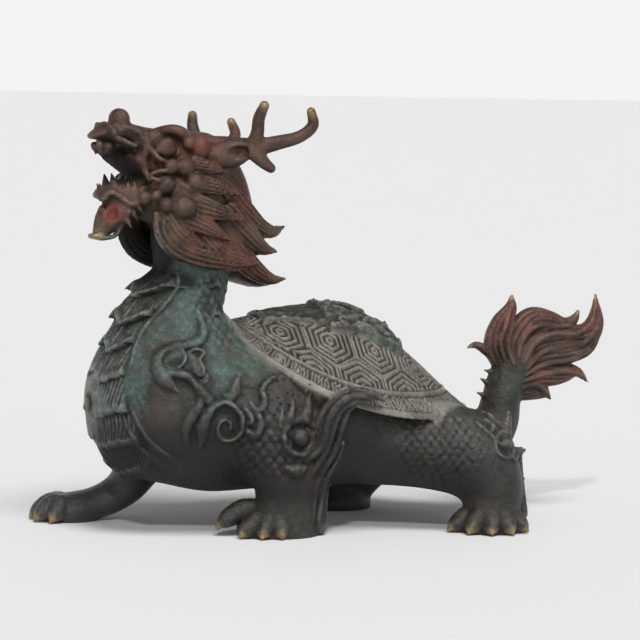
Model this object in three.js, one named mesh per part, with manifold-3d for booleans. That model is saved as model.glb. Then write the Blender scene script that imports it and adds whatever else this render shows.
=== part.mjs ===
// Dragon turtle: a small cast-bronze figure, one solid casting.
// Millimetres. The head points to -X, the animal's left flank is -Y, up is +Z, and the soles stand on Z = 0.
// The tables below are laid out over a working ground plane, and the last step sets the casting down on Z = 0.

import * as THREE from "three";
import { mergeVertices } from "three/addons/utils/BufferGeometryUtils.js";
import Module from "manifold-3d";

const wasm = await Module();
wasm.setup();

const NAME = "dragon_turtle";
const GROUND = 1.6;

// Shell: crown, plan ellipse, and the rim that climbs from the tail to the neck
const SHELL = {
  crownX: -2,
  crownZ: 73.8,
  centreX: 7.3,
  halfLength: 44.5,
  halfWidth: 38.5,
  rimRearZ: 39,
  rimClimb: 29.6,
  climbPower: 2.6,
  domePower: 1.15,
  rimThickness: 3,
  undersideZ: 50,
};
const PLAQUE = { frontX: -23, rearX: 25, halfWidth: 13, rise: 1.7, depth: 4 };

// Upright sections of the trunk: x, centre z, half height, half width
const TRUNK = [
  [-79, 43.5, 3, 4],
  [-77.4, 43.8, 10.5, 12],
  [-73, 44.3, 18.5, 19.5],
  [-65, 44.5, 25, 26],
  [-54, 44, 27.5, 30],
  [-40, 42, 28.3, 32],
  [-24, 40, 26, 33],
  [-8, 38, 24, 32],
  [10, 35.5, 21, 30.5],
  [28, 32.5, 17, 27],
  [44, 30, 12.5, 20],
  [56, 29.5, 8, 12],
  [61, 30, 3, 5],
];

// Round forms follow a path: x, y, z, then the half depth in the XZ plane and the half width along Y
const NECK = [
  [-47, 0, 47, 24, 24],
  [-51, 0, 58, 21.8, 21.5],
  [-52, 0, 66.5, 17.6, 18],
  [-49.5, 0, 74, 14.4, 15],
  [-46, 0, 82, 12.6, 13.5],
  [-44.5, 0, 92, 12.3, 13],
  [-44, 0, 102, 11, 12],
];
const TAIL = [
  [58, 0, 24, 9, 11],
  [64.5, 0, 33, 7.4, 9],
  [66.5, 0, 41, 6.6, 7.4],
  [68.5, 0, 48, 6.6, 6.4],
  [72, 0, 54.5, 6, 6],
  [76, 0, 60, 3.5, 4],
];
const LEGS = {
  frontLeft: [
    [-24, -18, 46, 14, 12],
    [-22.5, -23.5, 35, 14.5, 11.5],
    [-20, -25, 24, 12, 10.5],
    [-19, -24.5, 15, 10.6, 9.3],
    [-19.5, -24, 8, 10.8, 9],
    [-20, -24, 0, 12, 9.5],
  ],
  rearLeft: [
    [14, -16, 31, 15, 14],
    [30, -23, 30, 15, 13.5],
    [43, -28.5, 26, 14, 12],
    [49, -32, 17, 11, 10],
    [49.5, -33, 9, 9.8, 9],
    [49, -33, 0, 11, 9.5],
  ],
  frontRight: [
    [-46, 14, 41, 16, 14],
    [-53, 16.5, 29, 11.5, 11.8],
    [-57.2, 18, 19.4, 7.8, 9.4],
    [-61.5, 19.6, 12.4, 6.2, 8],
    [-69, 21, 7.8, 5.4, 7.4],
    [-80, 22, 5.6, 4.4, 7.6],
  ],
  rearRight: [
    [30, 14, 32, 15, 14],
    [28, 22, 25, 14, 12.5],
    [23, 26, 15, 11, 10],
    [19.5, 27, 8, 9.8, 9],
    [18.5, 27, 0, 10.5, 9.5],
  ],
};

// Paws: pad centre and radii, then each toe's heading in degrees from -X towards -Y, its reach and its lift
const PAWS = [
  { pad: [-23, -23, 3.5], radii: [12.5, 10, 6.5], toes: [[-4, 16.5, 3], [26, 12.5, 0], [54, 10.5, 0], [84, 9.5, 0]] },
  { pad: [49.5, -32.5, 3.5], radii: [10.5, 10, 6.5], toes: [[4, 13, 0], [36, 11.5, 0], [68, 10.5, 0], [100, 10.5, 0], [134, 10.5, 0]] },
  { pad: [-79, 22, 4.5], radii: [9, 8.5, 5.5], toes: [[-42, 9.5, 0], [-14, 11, 0], [14, 11, 0], [42, 9.5, 0]] },
  { pad: [17, 27, 3.5], radii: [11, 10, 6.5], toes: [[6, 13, 0], [-26, 11.5, 0], [-56, 10.5, 0], [-86, 10.5, 0]] },
];
const TOE = { radius: 3.5, height: 3.2, rise: 6.2, claw: 2.6 };

// Scutes down the throat and chest: lower edges at the front line, and how wide the band is at a height
const SCUTE_EDGES = [88, 80, 71, 62.3, 52.2, 41, 30.5, 20.5];
const SCUTE_BAND = [[90, 11], [70, 14], [52, 17], [38, 21], [28, 18], [19, 11]];
const SCUTE = { lift: 1.3, tuck: 0.2, point: 2.2, depth: 2 };

// Raised ribbons on the flanks, drawn in side view: x, z, half width, height above the skin
const FLANK_RIBBONS = [
  [[-48, 73, 0.9, 0.5], [-46, 68.5, 1.3, 1], [-48.5, 65.3, 1.6, 1.4], [-52.5, 63.8, 1.8, 1.5], [-57, 63.2, 1.7, 1.5],
    [-61, 61, 1.8, 1.5], [-63, 57.4, 2, 1.6], [-62.3, 53.6, 2.4, 1.7], [-60.2, 50.8, 1.8, 1.4], [-56.5, 49.2, 0.4, 0.5]],
  [[-61, 55.2, 2.2, 1.4], [-56, 56, 1.6, 1.5], [-52, 53.5, 1.7, 1.4], [-49.8, 50, 1.2, 1.1], [-47.3, 46.4, 0.4, 0.4]],
];
// Small curls and leaves between them, on the left flank only
const SMALL_CURLS = [
  [[-54, 44.5, 0.7, 0.7], [-55.2, 40.5, 1.5, 1], [-53.6, 36.2, 1.7, 1], [-50.8, 33.2, 0.5, 0.4]],
  [[-36.5, 54.6, 0.3, 0.4], [-40.2, 52, 1.3, 1], [-41.8, 48.9, 1.7, 1.5], [-39.6, 48.6, 1, 1]],
  [[-25, 53.4, 0.4, 0.5], [-27, 52, 1.1, 1.1], [-29.8, 51.2, 1.2, 1.2], [-31.5, 48.2, 1.3, 1.3], [-29.8, 45.2, 1.2, 1.2],
    [-30.6, 43.2, 0.8, 0.8]],
  [[-34.5, 45.3, 0.5, 0.6], [-31.8, 41, 1.4, 1.3], [-32.5, 36.8, 1.3, 1.3], [-35.2, 36, 0.9, 1]],
];
const VOLUTE = { x: -42.6, z: 38.4, radius: 7.2, turns: 1.7, halfWidth: 1.15, height: 1.6 };
const VOLUTE_TAIL = [[-49.6, 41, 1.1, 1.4], [-50.3, 36.5, 1.2, 1.2], [-49, 32.4, 1.1, 1], [-45.3, 28.4, 0.4, 0.4]];
const SHOULDER_BOSS = { x: -19.3, z: 34.6, ball: 2.8, ring: 5.9, ringWire: 0.95 };
const HIP_BOSS = { x: 45.2, z: 32.2, ball: 2.3, ring: 4.4, ringWire: 0.7 };
const SHOULDER_FLAMES = [[[-22.4, 39.5, 1.8, 1], [-21.6, 43, 1.5, 1], [-20.2, 46.4, 0.3, 0.4]],
  [[-16.6, 39.5, 2.2, 1.2], [-15.6, 43.5, 1.6, 1.2], [-13.6, 47.6, 0.3, 0.4]]];
const FAR_SIDE_SHIFT = -6;

// Plumes behind the legs and the flame over the hip, on the animal's left: x, y, z, half depth, half width
const PLUMES = [
  [[8, -39.5, 46.6, 0.6, 0.6], [3.5, -39.6, 48.6, 1.8, 1.8], [-2, -38.2, 48, 3, 2.4], [-6.6, -35.6, 43.6, 4.6, 3],
    [-9.6, -34, 37, 5, 3], [-10.6, -32.4, 29, 4.4, 3], [-10.4, -30, 20, 3.6, 3], [-9.6, -28, 11, 3, 3], [-9, -27, 4, 2.6, 3]],
  [[62.4, -27, 28, 0.5, 0.6], [60, -28.5, 26, 1.9, 2.2], [58.2, -31, 21, 2.8, 3.4], [58.6, -32.5, 14, 2.6, 4], [60, -33, 7, 2, 4]],
  [[60.6, -20, 40, 0.4, 0.6], [59.4, -21.4, 36.5, 1.7, 1.7], [57.6, -23, 31, 2.5, 2.6], [55, -25.4, 25.6, 2.4, 2.8], [52, -28, 21, 1.2, 1.6]],
];
const PLUME_SPIKES = [[[-8, -32, 31], [-3.2, -33, 29.6]], [[-8.5, -28, 20], [-5, -29, 18.4]], [[58, -31, 24], [62.4, -30, 20]]];

// Tail tuft: flame locks that start in the column and sweep up and back
const TUFT = [
  [[65.5, 0, 54, 2, 2.6], [61, 0, 57.6, 1.9, 2], [57, 0, 59.8, 1.4, 1.4], [53.6, 0, 59, 0.4, 0.5]],
  [[67, 0, 53, 4, 3.4], [64.6, 0, 60, 5, 3.4], [66, 0, 66.6, 4.2, 3], [69.2, 0, 72.2, 2.4, 2], [69.6, 0, 76.8, 0.5, 0.6]],
  [[69, 0, 54, 4, 4], [71.6, 0, 62, 4.8, 4.2], [76.6, 0, 68, 4.6, 3.8], [83, 0, 68.6, 3.2, 3], [89, 0, 66.8, 2.4, 2.4],
    [93, 0, 68, 1.8, 1.6], [95, 0, 71.4, 0.5, 0.6]],
  [[71, 0, 54, 5, 4], [78, 0, 60.6, 5, 4.2], [88, 0, 62.4, 4.4, 3.8], [96.6, 0, 62.6, 4.2, 3.2], [101.4, 0, 66.6, 3.2, 2.4],
    [101.2, 0, 76.6, 0.5, 0.6]],
  [[72, 0, 52, 5, 4], [81, 0, 55.6, 4.6, 4.4], [90, 0, 56.4, 4, 3.8], [97.6, 0, 58.6, 3.4, 3], [102, 0, 64, 2, 2]],
  [[72, 0, 49.6, 4, 4], [81, 0, 50.6, 3.4, 4], [89.6, 0, 50.8, 2.8, 3], [95, 0, 49.8, 1.8, 2], [99, 0, 46.4, 0.4, 0.5]],
  [[72, 0, 47, 4, 4], [78.6, 0, 46.4, 3, 3.4], [82, 0, 44, 2, 2.4], [85, 0, 40.8, 0.5, 0.6]],
];
// Small spines: foot, then tip, with the foot's half width
const TAIL_SPINES = [
  [[61.6, 0, 42], [57.4, 0, 43.6], 1.5],
  [[62, 0, 46.4], [58.6, 0, 48.4], 1.4],
  [[63.4, 0, 50.4], [60, 0, 51.2], 1.3],
  [[51.4, 0, 36], [50.8, 0, 39.4], 1.6],
  [[56, 0, 34], [55.8, 0, 37.6], 1.6],
  [[60.5, 0, 33], [59.6, 0, 36], 1.6],
];

// The head turns to the animal's left and leans a little. Its own frame starts at the top of the neck.
const HEAD = { pivot: [-44, 0, 95], turn: 13, lean: 5, leanZ: 20 };
const HEAD_BLOBS = [
  [[-4, 0, 21.5], [18, 13.5, 15.2]],
  [[-11, 0, 15], [11, 15.5, 9]],
  [[0, 0, 2], [15.5, 15, 14.5]],
  [[-28.6, 0, 39.6], [4.2, 4.6, 4]],
];
const HEAD_LOFTS = {
  upperJaw: [[-12, 0, 29, 8, 11.5], [-20, 0, 31, 6.8, 10.6], [-27, 0, 33.4, 5, 9], [-33, 0, 34.6, 3.8, 8], [-38.4, 0, 35.2, 2.6, 5.6],
    [-41, 0, 34.9, 0.8, 2.2]],
  palate: [[-14, 0, 22, 6, 9], [-24, 0, 26.4, 4.2, 8], [-36.5, 0, 31.4, 1, 4.6]],
  lowerJaw: [[-10, 0, 12, 8, 11], [-20, 0, 14.6, 5.4, 9.6], [-27, 0, 16, 3.9, 7.6], [-32, 0, 16.6, 3, 5.4], [-36, 0, 17, 1.2, 2.6]],
  chin: [[-26, 0, 13.5, 5.4, 7.4], [-30.4, 0, 9.6, 4.4, 5.8], [-33.6, 0, 6.4, 3, 4], [-38.2, 0, 3, 0.6, 1.4]],
  tuftHigh: [[6, 0, 16, 5, 10], [14, 0, 8, 4.6, 9.4], [23, 0, 3, 2.4, 7.4], [30.4, 0, 5, 0.5, 4.6]],
  tuftMiddle: [[8, 0, 6, 5, 10], [17, 0, -1.4, 3, 9.6], [25, 0, -3.6, 0.5, 7.6]],
  tuftLow: [[6, 0, -1, 5, 9.6], [14, 0, -8, 4.4, 9], [22, 0, -12.4, 2.6, 7], [30.4, 0, -12.6, 0.5, 4.6]],
  nape: [[2, 0, 30, 6, 10.5], [9.6, 0, 22, 5.6, 10.5], [12.6, 0, 12, 6, 10.5], [14, 0, 2, 6, 10], [15, 0, -7, 4, 8]],
};
// Paired parts of the head, given for the left side: centre, radii
const FACE_BLOBS = [
  [[-18.2, -11.2, 30.6], [3.7, 2.8, 3]],
  [[-5.2, -11.8, 30.8], [3.3, 2.8, 3]],
  [[-12.3, -14, 23.8], [2.8, 2.8, 2.8]],
  [[-9, -15, 19.4], [2.6, 2.4, 2.5]],
  [[-12, -14.8, 11.2], [4, 4, 4]],
  [[-17.8, -12.4, 11.6], [2.7, 2.8, 2.7]],
  [[-31.6, -3.8, 37], [2.4, 2.2, 2.2]],
];
const FACE_LOCKS = [
  [[-35.6, -1.6, 38.6, 0.7, 1], [-34.6, -5, 37.4, 0.9, 1.4], [-32.4, -7, 34.2, 0.9, 1.4], [-29.8, -8.4, 31.4, 0.9, 1.2], [-25.4, -9.6, 30, 0.6, 0.8]],
  [[-23, -7.6, 35.8, 0.8, 1], [-17.6, -9.8, 35.6, 1.3, 1.8], [-13.2, -11.4, 33.8, 1.4, 1.6], [-9.8, -12, 32.2, 1, 1]],
  [[-35, -0.6, 14.4, 0.7, 1], [-32.8, -4, 15.4, 0.9, 1], [-29.6, -6, 13.2, 0.9, 1], [-26.8, -7.6, 12, 0.9, 1], [-24.6, -8.6, 15.8, 0.9, 1],
    [-21.2, -10.2, 18, 0.8, 0.8]],
  [[-8, -12.5, 25, 3, 2], [-2, -13.4, 24, 2.2, 1.8], [4.6, -12.8, 22.4, 0.4, 0.5]],
  [[-8, -13.4, 19, 3.6, 2], [0, -14.6, 17.4, 2.6, 1.8], [8.6, -14, 15, 0.4, 0.5]],
  [[-9, -14.4, 12, 4.4, 2], [-1, -15.8, 9.6, 3, 1.8], [9.2, -15.4, 6.8, 0.4, 0.5]],
  [[-12, -14, 8.4, 4.4, 2], [-4.6, -15.6, 4.6, 3, 1.8], [3.6, -15.6, 0.2, 0.4, 0.5]],
  [[-17, -11, 7, 4, 3.2], [-14.6, -12, 1, 4.8, 3.2], [-9, -12.6, -3, 4, 3], [-2, -12.6, -5.4, 3.4, 3], [7, -12.2, -6.8, 2.8, 2.6],
    [16.6, -11.6, -7, 0.4, 0.6]],
];
const EAR = [[-0.4, -12.4, 28.6, 2, 1.6], [3.6, -14.2, 28.4, 3.4, 1.7], [7.6, -16.4, 28.6, 2.4, 1.2], [11, -18.6, 29.4, 0.5, 0.5]];
const ANTLER = [
  [[-2, -7, 32, 2.4, 2.4], [5, -11.4, 31.6, 2.2, 2.3], [12.6, -18, 30, 2.6, 2.2]],
  [[10.6, -16.6, 29.6, 2.2, 2], [12.2, -20.4, 36.4, 1.8, 1.7], [13.4, -23.4, 44.2, 0.7, 0.8]],
  [[11, -17, 30, 2.4, 2], [21, -21.6, 32, 1.8, 1.6], [29.6, -24.4, 36.4, 1.5, 1.4], [29, -25.6, 42, 0.7, 0.8]],
  [[10.4, -17, 29.6, 2.2, 2], [12.8, -19.4, 25.6, 1.5, 1.5], [16.8, -20.2, 22.4, 0.8, 0.9]],
];
// Teeth: foot, then tip, with the foot's half width
const TEETH = [
  [[-36.4, -2.6, 32], [-36.2, -2.4, 28.6], 1.1],
  [[-33.6, -5.6, 31.6], [-33.2, -5.2, 28.4], 1.1],
  [[-31.4, -3.6, 17.6], [-31.8, -3, 22], 1.3],
  [[-27.4, -5.6, 17.4], [-27.6, -5.2, 20.4], 1],
];

const vec = (p) => new THREE.Vector3(p[0], p[1], p[2]);
const mirror = ([x, y, z, ...rest]) => [x, -y, z, ...rest];

// A solid from a closed three.js geometry
function solidOf(geometry) {
  const bare = geometry.clone();
  for (const name of Object.keys(bare.attributes)) {
    if (name !== "position") bare.deleteAttribute(name);
  }
  const merged = mergeVertices(bare, 1e-4);
  return new wasm.Manifold(
    new wasm.Mesh({
      numProp: 3,
      vertProperties: merged.attributes.position.array,
      triVerts: new Uint32Array(merged.index.array),
    }),
  );
}

function geometryOf(solid) {
  const mesh = solid.getMesh();
  return new THREE.BufferGeometry()
    .setAttribute("position", new THREE.BufferAttribute(mesh.vertProperties, 3))
    .setIndex(new THREE.BufferAttribute(mesh.triVerts, 1));
}

const join = (solids) => wasm.Manifold.union(solids);

// Moves each vertex of a geometry by a rule from its old place to its new one
function reshape(geometry, rule) {
  const position = geometry.attributes.position;
  const vertex = new THREE.Vector3();
  for (let i = 0; i < position.count; i++) {
    vertex.fromBufferAttribute(position, i);
    position.setXYZ(i, ...rule(vertex).toArray());
  }
  return geometry;
}

// A body of elliptical sections that follows its stations smoothly from end to end
function loft(stations, { sides = 4, steps = 1, upright = false } = {}) {
  const path = new THREE.CatmullRomCurve3(stations.map(vec), false, "catmullrom");
  const radii = new THREE.CatmullRomCurve3(stations.map(([, , , deep, wide]) => new THREE.Vector3(deep, wide, 0)));
  radii.curveType = "catmullrom";
  const tube = new THREE.CylinderGeometry(1, 1, 1, sides, (stations.length - 1) * steps);
  return solidOf(
    reshape(tube, (v) => {
      const t = THREE.MathUtils.clamp(0.5 - v.y, 0, 1);
      const along = upright ? new THREE.Vector3(1, 0, 0) : path.getTangent(t);
      const across = new THREE.Vector3(0, 1, 0).addScaledVector(along, -along.y).normalize();
      const deepwards = new THREE.Vector3().crossVectors(across, along).normalize();
      const radius = radii.getPoint(t);
      return path
        .getPoint(t)
        .addScaledVector(deepwards, v.x * Math.max(radius.x, 0.3))
        .addScaledVector(across, v.z * Math.max(radius.y, 0.3));
    }),
  );
}

function blob([x, y, z], [rx, ry, rz], sides = 6) {
  return solidOf(
    new THREE.SphereGeometry(1, sides, Math.round(sides * 0.55)).scale(rx, ry, rz).translate(x, y, z),
  );
}

// A short spike from its foot to its tip
function spike(foot, tip, halfWidth) {
  const [from, to] = [vec(foot), vec(tip)];
  const length = from.distanceTo(to);
  const cone = new THREE.CylinderGeometry(halfWidth * 0.12, halfWidth, length, 4).translate(0, length / 2, 0);
  const turn = new THREE.Quaternion().setFromUnitVectors(
    new THREE.Vector3(0, 1, 0),
    to.clone().sub(from).normalize(),
  );
  return solidOf(cone.applyQuaternion(turn).translate(from.x, from.y, from.z));
}

// Plan position and height of the shell's rim, by the angle round from the neck
function rimPoint(angle) {
  const rise = ((1 + Math.cos(angle)) / 2) ** SHELL.climbPower;
  return new THREE.Vector3(
    SHELL.centreX - SHELL.halfLength * Math.cos(angle),
    -SHELL.halfWidth * Math.sin(angle),
    SHELL.rimRearZ + SHELL.rimClimb * rise,
  );
}

// Top of the dome, from the crown (share 0) out to the rim (share 1)
function domePoint(angle, share) {
  const rim = rimPoint(angle);
  const rise = Math.cos((Math.min(share, 1) * Math.PI) / 2) ** SHELL.domePower;
  return new THREE.Vector3(
    THREE.MathUtils.lerp(SHELL.crownX, rim.x, share),
    rim.y * share,
    rim.z + (SHELL.crownZ - rim.z) * rise,
  );
}

// Height of the dome over a plan point, found where the line from the crown meets the rim
function domeHeight(x, y) {
  const dx = x - SHELL.crownX;
  const reach = Math.hypot(dx, y) || 1e-6;
  const [ux, uy] = [dx / reach / SHELL.halfLength, y / reach / SHELL.halfWidth];
  const start = (SHELL.crownX - SHELL.centreX) / SHELL.halfLength;
  const [a, b] = [ux * ux + uy * uy, start * ux];
  const edge = (-b + Math.sqrt(b * b - a * (start * start - 1))) / a;
  const angle = Math.atan2(-uy * edge, -(start + edge * ux));
  return domePoint(angle, Math.min(1, reach / edge)).z;
}

function shell() {
  const body = new THREE.SphereGeometry(1, 26, 10);
  return solidOf(
    reshape(body, (v) => {
      const share = Math.min(1, Math.hypot(v.x, v.z));
      const angle = Math.atan2(-v.z, v.x);
      const top = domePoint(angle, share);
      if (v.y >= -1e-6) return top;
      const under = THREE.MathUtils.lerp(SHELL.undersideZ, rimPoint(angle).z - SHELL.rimThickness, share);
      return new THREE.Vector3(top.x, top.y, Math.min(under, top.z - 0.5));
    }),
  );
}

// The raised plate on the crown, which follows the dome
function plaque() {
  const box = new THREE.BoxGeometry(1, 1, 1, 5, 2, 1);
  return solidOf(
    reshape(box, (v) => {
      const x = PLAQUE.frontX + (PLAQUE.rearX - PLAQUE.frontX) * (v.x + 0.5);
      const y = 2 * PLAQUE.halfWidth * v.y;
      return new THREE.Vector3(x, y, domeHeight(x, y) + (v.z > 0 ? PLAQUE.rise : -PLAQUE.depth));
    }),
  );
}

// Pad, toes and claws of one paw
function paw({ pad, radii, toes }) {
  const parts = [blob(pad, radii, 8)];
  for (const [heading, reach, lift] of toes) {
    const angle = THREE.MathUtils.degToRad(heading);
    const at = (distance, z) => [pad[0] - Math.cos(angle) * distance, pad[1] - Math.sin(angle) * distance, z];
    parts.push(
      loft(
        [
          [...at(reach * 0.4, TOE.rise + lift), TOE.height, TOE.radius],
          [...at(reach * 0.85, TOE.rise - 0.8 + lift), TOE.height, TOE.radius],
          [...at(reach + TOE.claw, GROUND + 1 + lift * 0.5), 0.5, 0.5],
        ],
        { sides: 5 },
      ),
    );
  }
  return join(parts);
}

// The plain body, which the ornament is laid on
const body = join([
  shell(),
  loft(TRUNK.map(([x, z, high, wide]) => [x, 0, z, high, wide]), { sides: 18, upright: true }),
  loft(NECK, { sides: 12 }),
  loft(TAIL, { sides: 8 }),
  ...Object.values(LEGS).map((leg) => loft(leg, { sides: 8 })),
]);
const skin = new THREE.Mesh(geometryOf(body), new THREE.MeshStandardMaterial({ side: THREE.DoubleSide }));
const ray = new THREE.Raycaster();

// The outermost point of the plain body along a line that runs back from far outside it
function skinPoint(target, outwards) {
  const direction = outwards.clone().normalize();
  ray.set(target.clone().addScaledVector(direction, 150), direction.clone().negate());
  const [hit] = ray.intersectObject(skin);
  return hit ? hit.point : target;
}

// A raised ribbon over the flank from its side view. side is -1 for the left flank and 1 for the right.
function flankRibbon(points, side) {
  const shift = side > 0 ? FAR_SIDE_SHIFT : 0;
  return loft(
    points.map(([x, z, halfWidth, height]) => {
      const on = skinPoint(new THREE.Vector3(x + shift, 0, z), new THREE.Vector3(0, side, 0));
      return [on.x, on.y - side * height * 0.2, on.z, halfWidth, height * 1.2];
    }),
  );
}

function spiral({ x, z, radius, turns, halfWidth, height }) {
  const count = Math.round(turns * 6);
  return Array.from({ length: count + 1 }, (_, i) => {
    const share = i / count;
    const angle = Math.PI - share * turns * 2 * Math.PI;
    const reach = radius * (1 - share) ** 0.8;
    return [x + reach * Math.cos(angle), z + reach * Math.sin(angle), halfWidth * (1 - 0.35 * share), height];
  });
}

function ring({ x, z, ring: radius, ringWire }) {
  const count = 8;
  return Array.from({ length: count + 1 }, (_, i) => {
    const angle = (i / count) * 2 * Math.PI;
    return [x + radius * Math.cos(angle), z + radius * Math.sin(angle), ringWire, ringWire];
  });
}

function bossBall({ x, z, ball }, side) {
  const shift = side > 0 ? FAR_SIDE_SHIFT : 0;
  const on = skinPoint(new THREE.Vector3(x + shift, 0, z), new THREE.Vector3(0, side, 0));
  return blob([on.x, on.y, on.z], [ball, ball, ball]);
}

// One scute: a shingle across the throat or chest whose lower edge stands proud and dips at the middle
function scute(top, bottom) {
  const plate = new THREE.BoxGeometry(1, 1, 1, 4, 1, 1);
  const band = (z) => {
    const i = SCUTE_BAND.findIndex(([height]) => z >= height);
    if (i <= 0) return SCUTE_BAND[i < 0 ? SCUTE_BAND.length - 1 : 0][1];
    const [[z0, w0], [z1, w1]] = [SCUTE_BAND[i - 1], SCUTE_BAND[i]];
    return THREE.MathUtils.mapLinear(z, z0, z1, w0, w1);
  };
  return solidOf(
    reshape(plate, (v) => {
      const low = v.z < 0;
      const z = (low ? bottom : top) - (low ? SCUTE.point * (1 - Math.abs(v.x) * 4) : 0);
      const y = 2 * v.x * band(z);
      const axis = new THREE.Vector3(-46, 0, Math.max(z, 44));
      const outwards = new THREE.Vector3(-24, y, z - axis.z);
      const on = skinPoint(axis, outwards);
      const lift = v.y > 0 ? (low ? SCUTE.lift : SCUTE.tuck) : -SCUTE.depth;
      return on.addScaledVector(outwards.normalize(), lift);
    }),
  );
}

function ornament() {
  const parts = [];
  for (let i = 1; i < SCUTE_EDGES.length; i++) parts.push(scute(SCUTE_EDGES[i - 1], SCUTE_EDGES[i]));
  for (const side of [-1, 1]) {
    const ribbons = [...FLANK_RIBBONS, spiral(VOLUTE), ring(SHOULDER_BOSS)];
    const small = side < 0 ? [...SMALL_CURLS, VOLUTE_TAIL, ...SHOULDER_FLAMES] : [];
    for (const ribbon of [...ribbons, ...small]) parts.push(flankRibbon(ribbon, side));
    parts.push(bossBall(SHOULDER_BOSS, side));
  }
  parts.push(bossBall(HIP_BOSS, -1), flankRibbon(ring(HIP_BOSS), -1));
  for (const plume of PLUMES) parts.push(loft(plume, { sides: 5 }));
  for (const [foot, tip] of PLUME_SPIKES) parts.push(spike(foot, tip, 1.8));
  for (const lock of TUFT) parts.push(loft(lock, { sides: 5 }));
  for (const [foot, tip, halfWidth] of TAIL_SPINES) parts.push(spike(foot, tip, halfWidth));
  return parts;
}

function head() {
  const parts = [];
  for (const [centre, radii] of HEAD_BLOBS) parts.push(blob(centre, radii, 8));
  for (const stations of Object.values(HEAD_LOFTS)) parts.push(loft(stations, { sides: 6 }));
  for (const flip of [(p) => p, mirror]) {
    for (const [centre, radii] of FACE_BLOBS) parts.push(blob(flip(centre), radii));
    for (const lock of FACE_LOCKS) parts.push(loft(lock.map(flip)));
    for (const tine of ANTLER) parts.push(loft(tine.map(flip)));
    for (const [foot, tip, halfWidth] of TEETH) parts.push(spike(flip(foot), flip(tip), halfWidth));
    parts.push(loft(EAR.map(flip)));
  }
  const place = new THREE.Matrix4()
    .makeTranslation(...HEAD.pivot)
    .multiply(new THREE.Matrix4().makeRotationZ(THREE.MathUtils.degToRad(HEAD.turn)))
    .multiply(new THREE.Matrix4().makeTranslation(0, 0, HEAD.leanZ))
    .multiply(new THREE.Matrix4().makeRotationX(THREE.MathUtils.degToRad(-HEAD.lean)))
    .multiply(new THREE.Matrix4().makeTranslation(0, 0, -HEAD.leanZ));
  return solidOf(geometryOf(join(parts)).applyMatrix4(place));
}

// Everything joined, cut flat along the soles, and set down with the origin under its middle
function casting() {
  const whole = join([body, plaque(), head(), ...ornament(), ...PAWS.map(paw)]);
  const box = new THREE.BoxGeometry(400, 400, 100).translate(0, 0, GROUND - 50);
  // The largest closed skin is the casting: what it encloses is solid
  const skins = whole.subtract(solidOf(box)).decompose();
  const stood = skins.reduce((a, b) => (b.volume() > a.volume() ? b : a));
  const bounds = new THREE.Box3().setFromBufferAttribute(geometryOf(stood).attributes.position);
  const middle = bounds.getCenter(new THREE.Vector3());
  return geometryOf(stood.translate([-middle.x, -middle.y, -GROUND]));
}

const bronze = new THREE.MeshStandardMaterial({ color: 0x4a463c, roughness: 0.55, metalness: 0.75 });
const statue = new THREE.Mesh(casting(), bronze);
statue.name = NAME;

const part = new THREE.Group();
part.add(statue);

export default part;
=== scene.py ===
import math

import bmesh
import bpy
import numpy as np
from mathutils import Matrix, Vector


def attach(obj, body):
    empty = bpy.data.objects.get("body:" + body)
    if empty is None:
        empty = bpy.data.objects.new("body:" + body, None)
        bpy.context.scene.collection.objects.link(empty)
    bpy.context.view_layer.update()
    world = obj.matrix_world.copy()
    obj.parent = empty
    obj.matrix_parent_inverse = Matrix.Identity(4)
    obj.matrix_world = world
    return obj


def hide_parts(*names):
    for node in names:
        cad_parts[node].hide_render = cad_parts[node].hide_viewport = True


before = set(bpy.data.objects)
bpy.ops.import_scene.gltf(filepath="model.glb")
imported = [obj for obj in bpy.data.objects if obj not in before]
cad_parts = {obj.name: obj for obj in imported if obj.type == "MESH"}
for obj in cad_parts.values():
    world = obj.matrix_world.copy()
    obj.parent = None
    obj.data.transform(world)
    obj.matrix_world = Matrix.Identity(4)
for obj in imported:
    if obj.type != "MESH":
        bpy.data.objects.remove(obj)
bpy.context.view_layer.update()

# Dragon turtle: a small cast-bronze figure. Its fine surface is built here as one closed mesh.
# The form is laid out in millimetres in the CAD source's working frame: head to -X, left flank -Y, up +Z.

GROUND = 1.6
CAD_MIDDLE = (5.9012, -2.6428)
STEP = 0.42
FACES = 194_000
FAR = 6.0
SEED = 7

# Shell: crown, plan ellipse, and the rim that climbs from the tail to the neck
CROWN = (-2.0, 73.8)
SHELL_CENTRE = 7.3
SHELL_HALF = (44.5, 38.5)
RIM_REAR, RIM_CLIMB, CLIMB_POWER = 39.8, 28.8, 3.0
DOME_POWER = 1.15
RIM_THICK, UNDERSIDE = 1.4, 50.0
PLAQUE_X = (-23.0, 24.0)

# Upright sections of the trunk: x, centre z, half height, half width
TRUNK = [
    (-79.2, 43.5, 1, 1.5), (-78.8, 43.5, 5, 6), (-77.4, 43.8, 11, 12.5), (-73, 44.3, 18.8, 20),
    (-65, 44.5, 25.2, 26.4),
    (-54, 44, 27.8, 30.4), (-40, 42, 28.6, 32.3), (-24, 40, 26.2, 33.2), (-8, 38, 24.2, 32.2),
    (10, 35.5, 21.2, 30.7),
    (28, 32.5, 17.2, 27.2), (44, 30, 12.7, 20.3), (56, 29.5, 8.2, 12.5), (60.5, 30, 4, 6), (62, 30, 1, 1.5),
]
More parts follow.
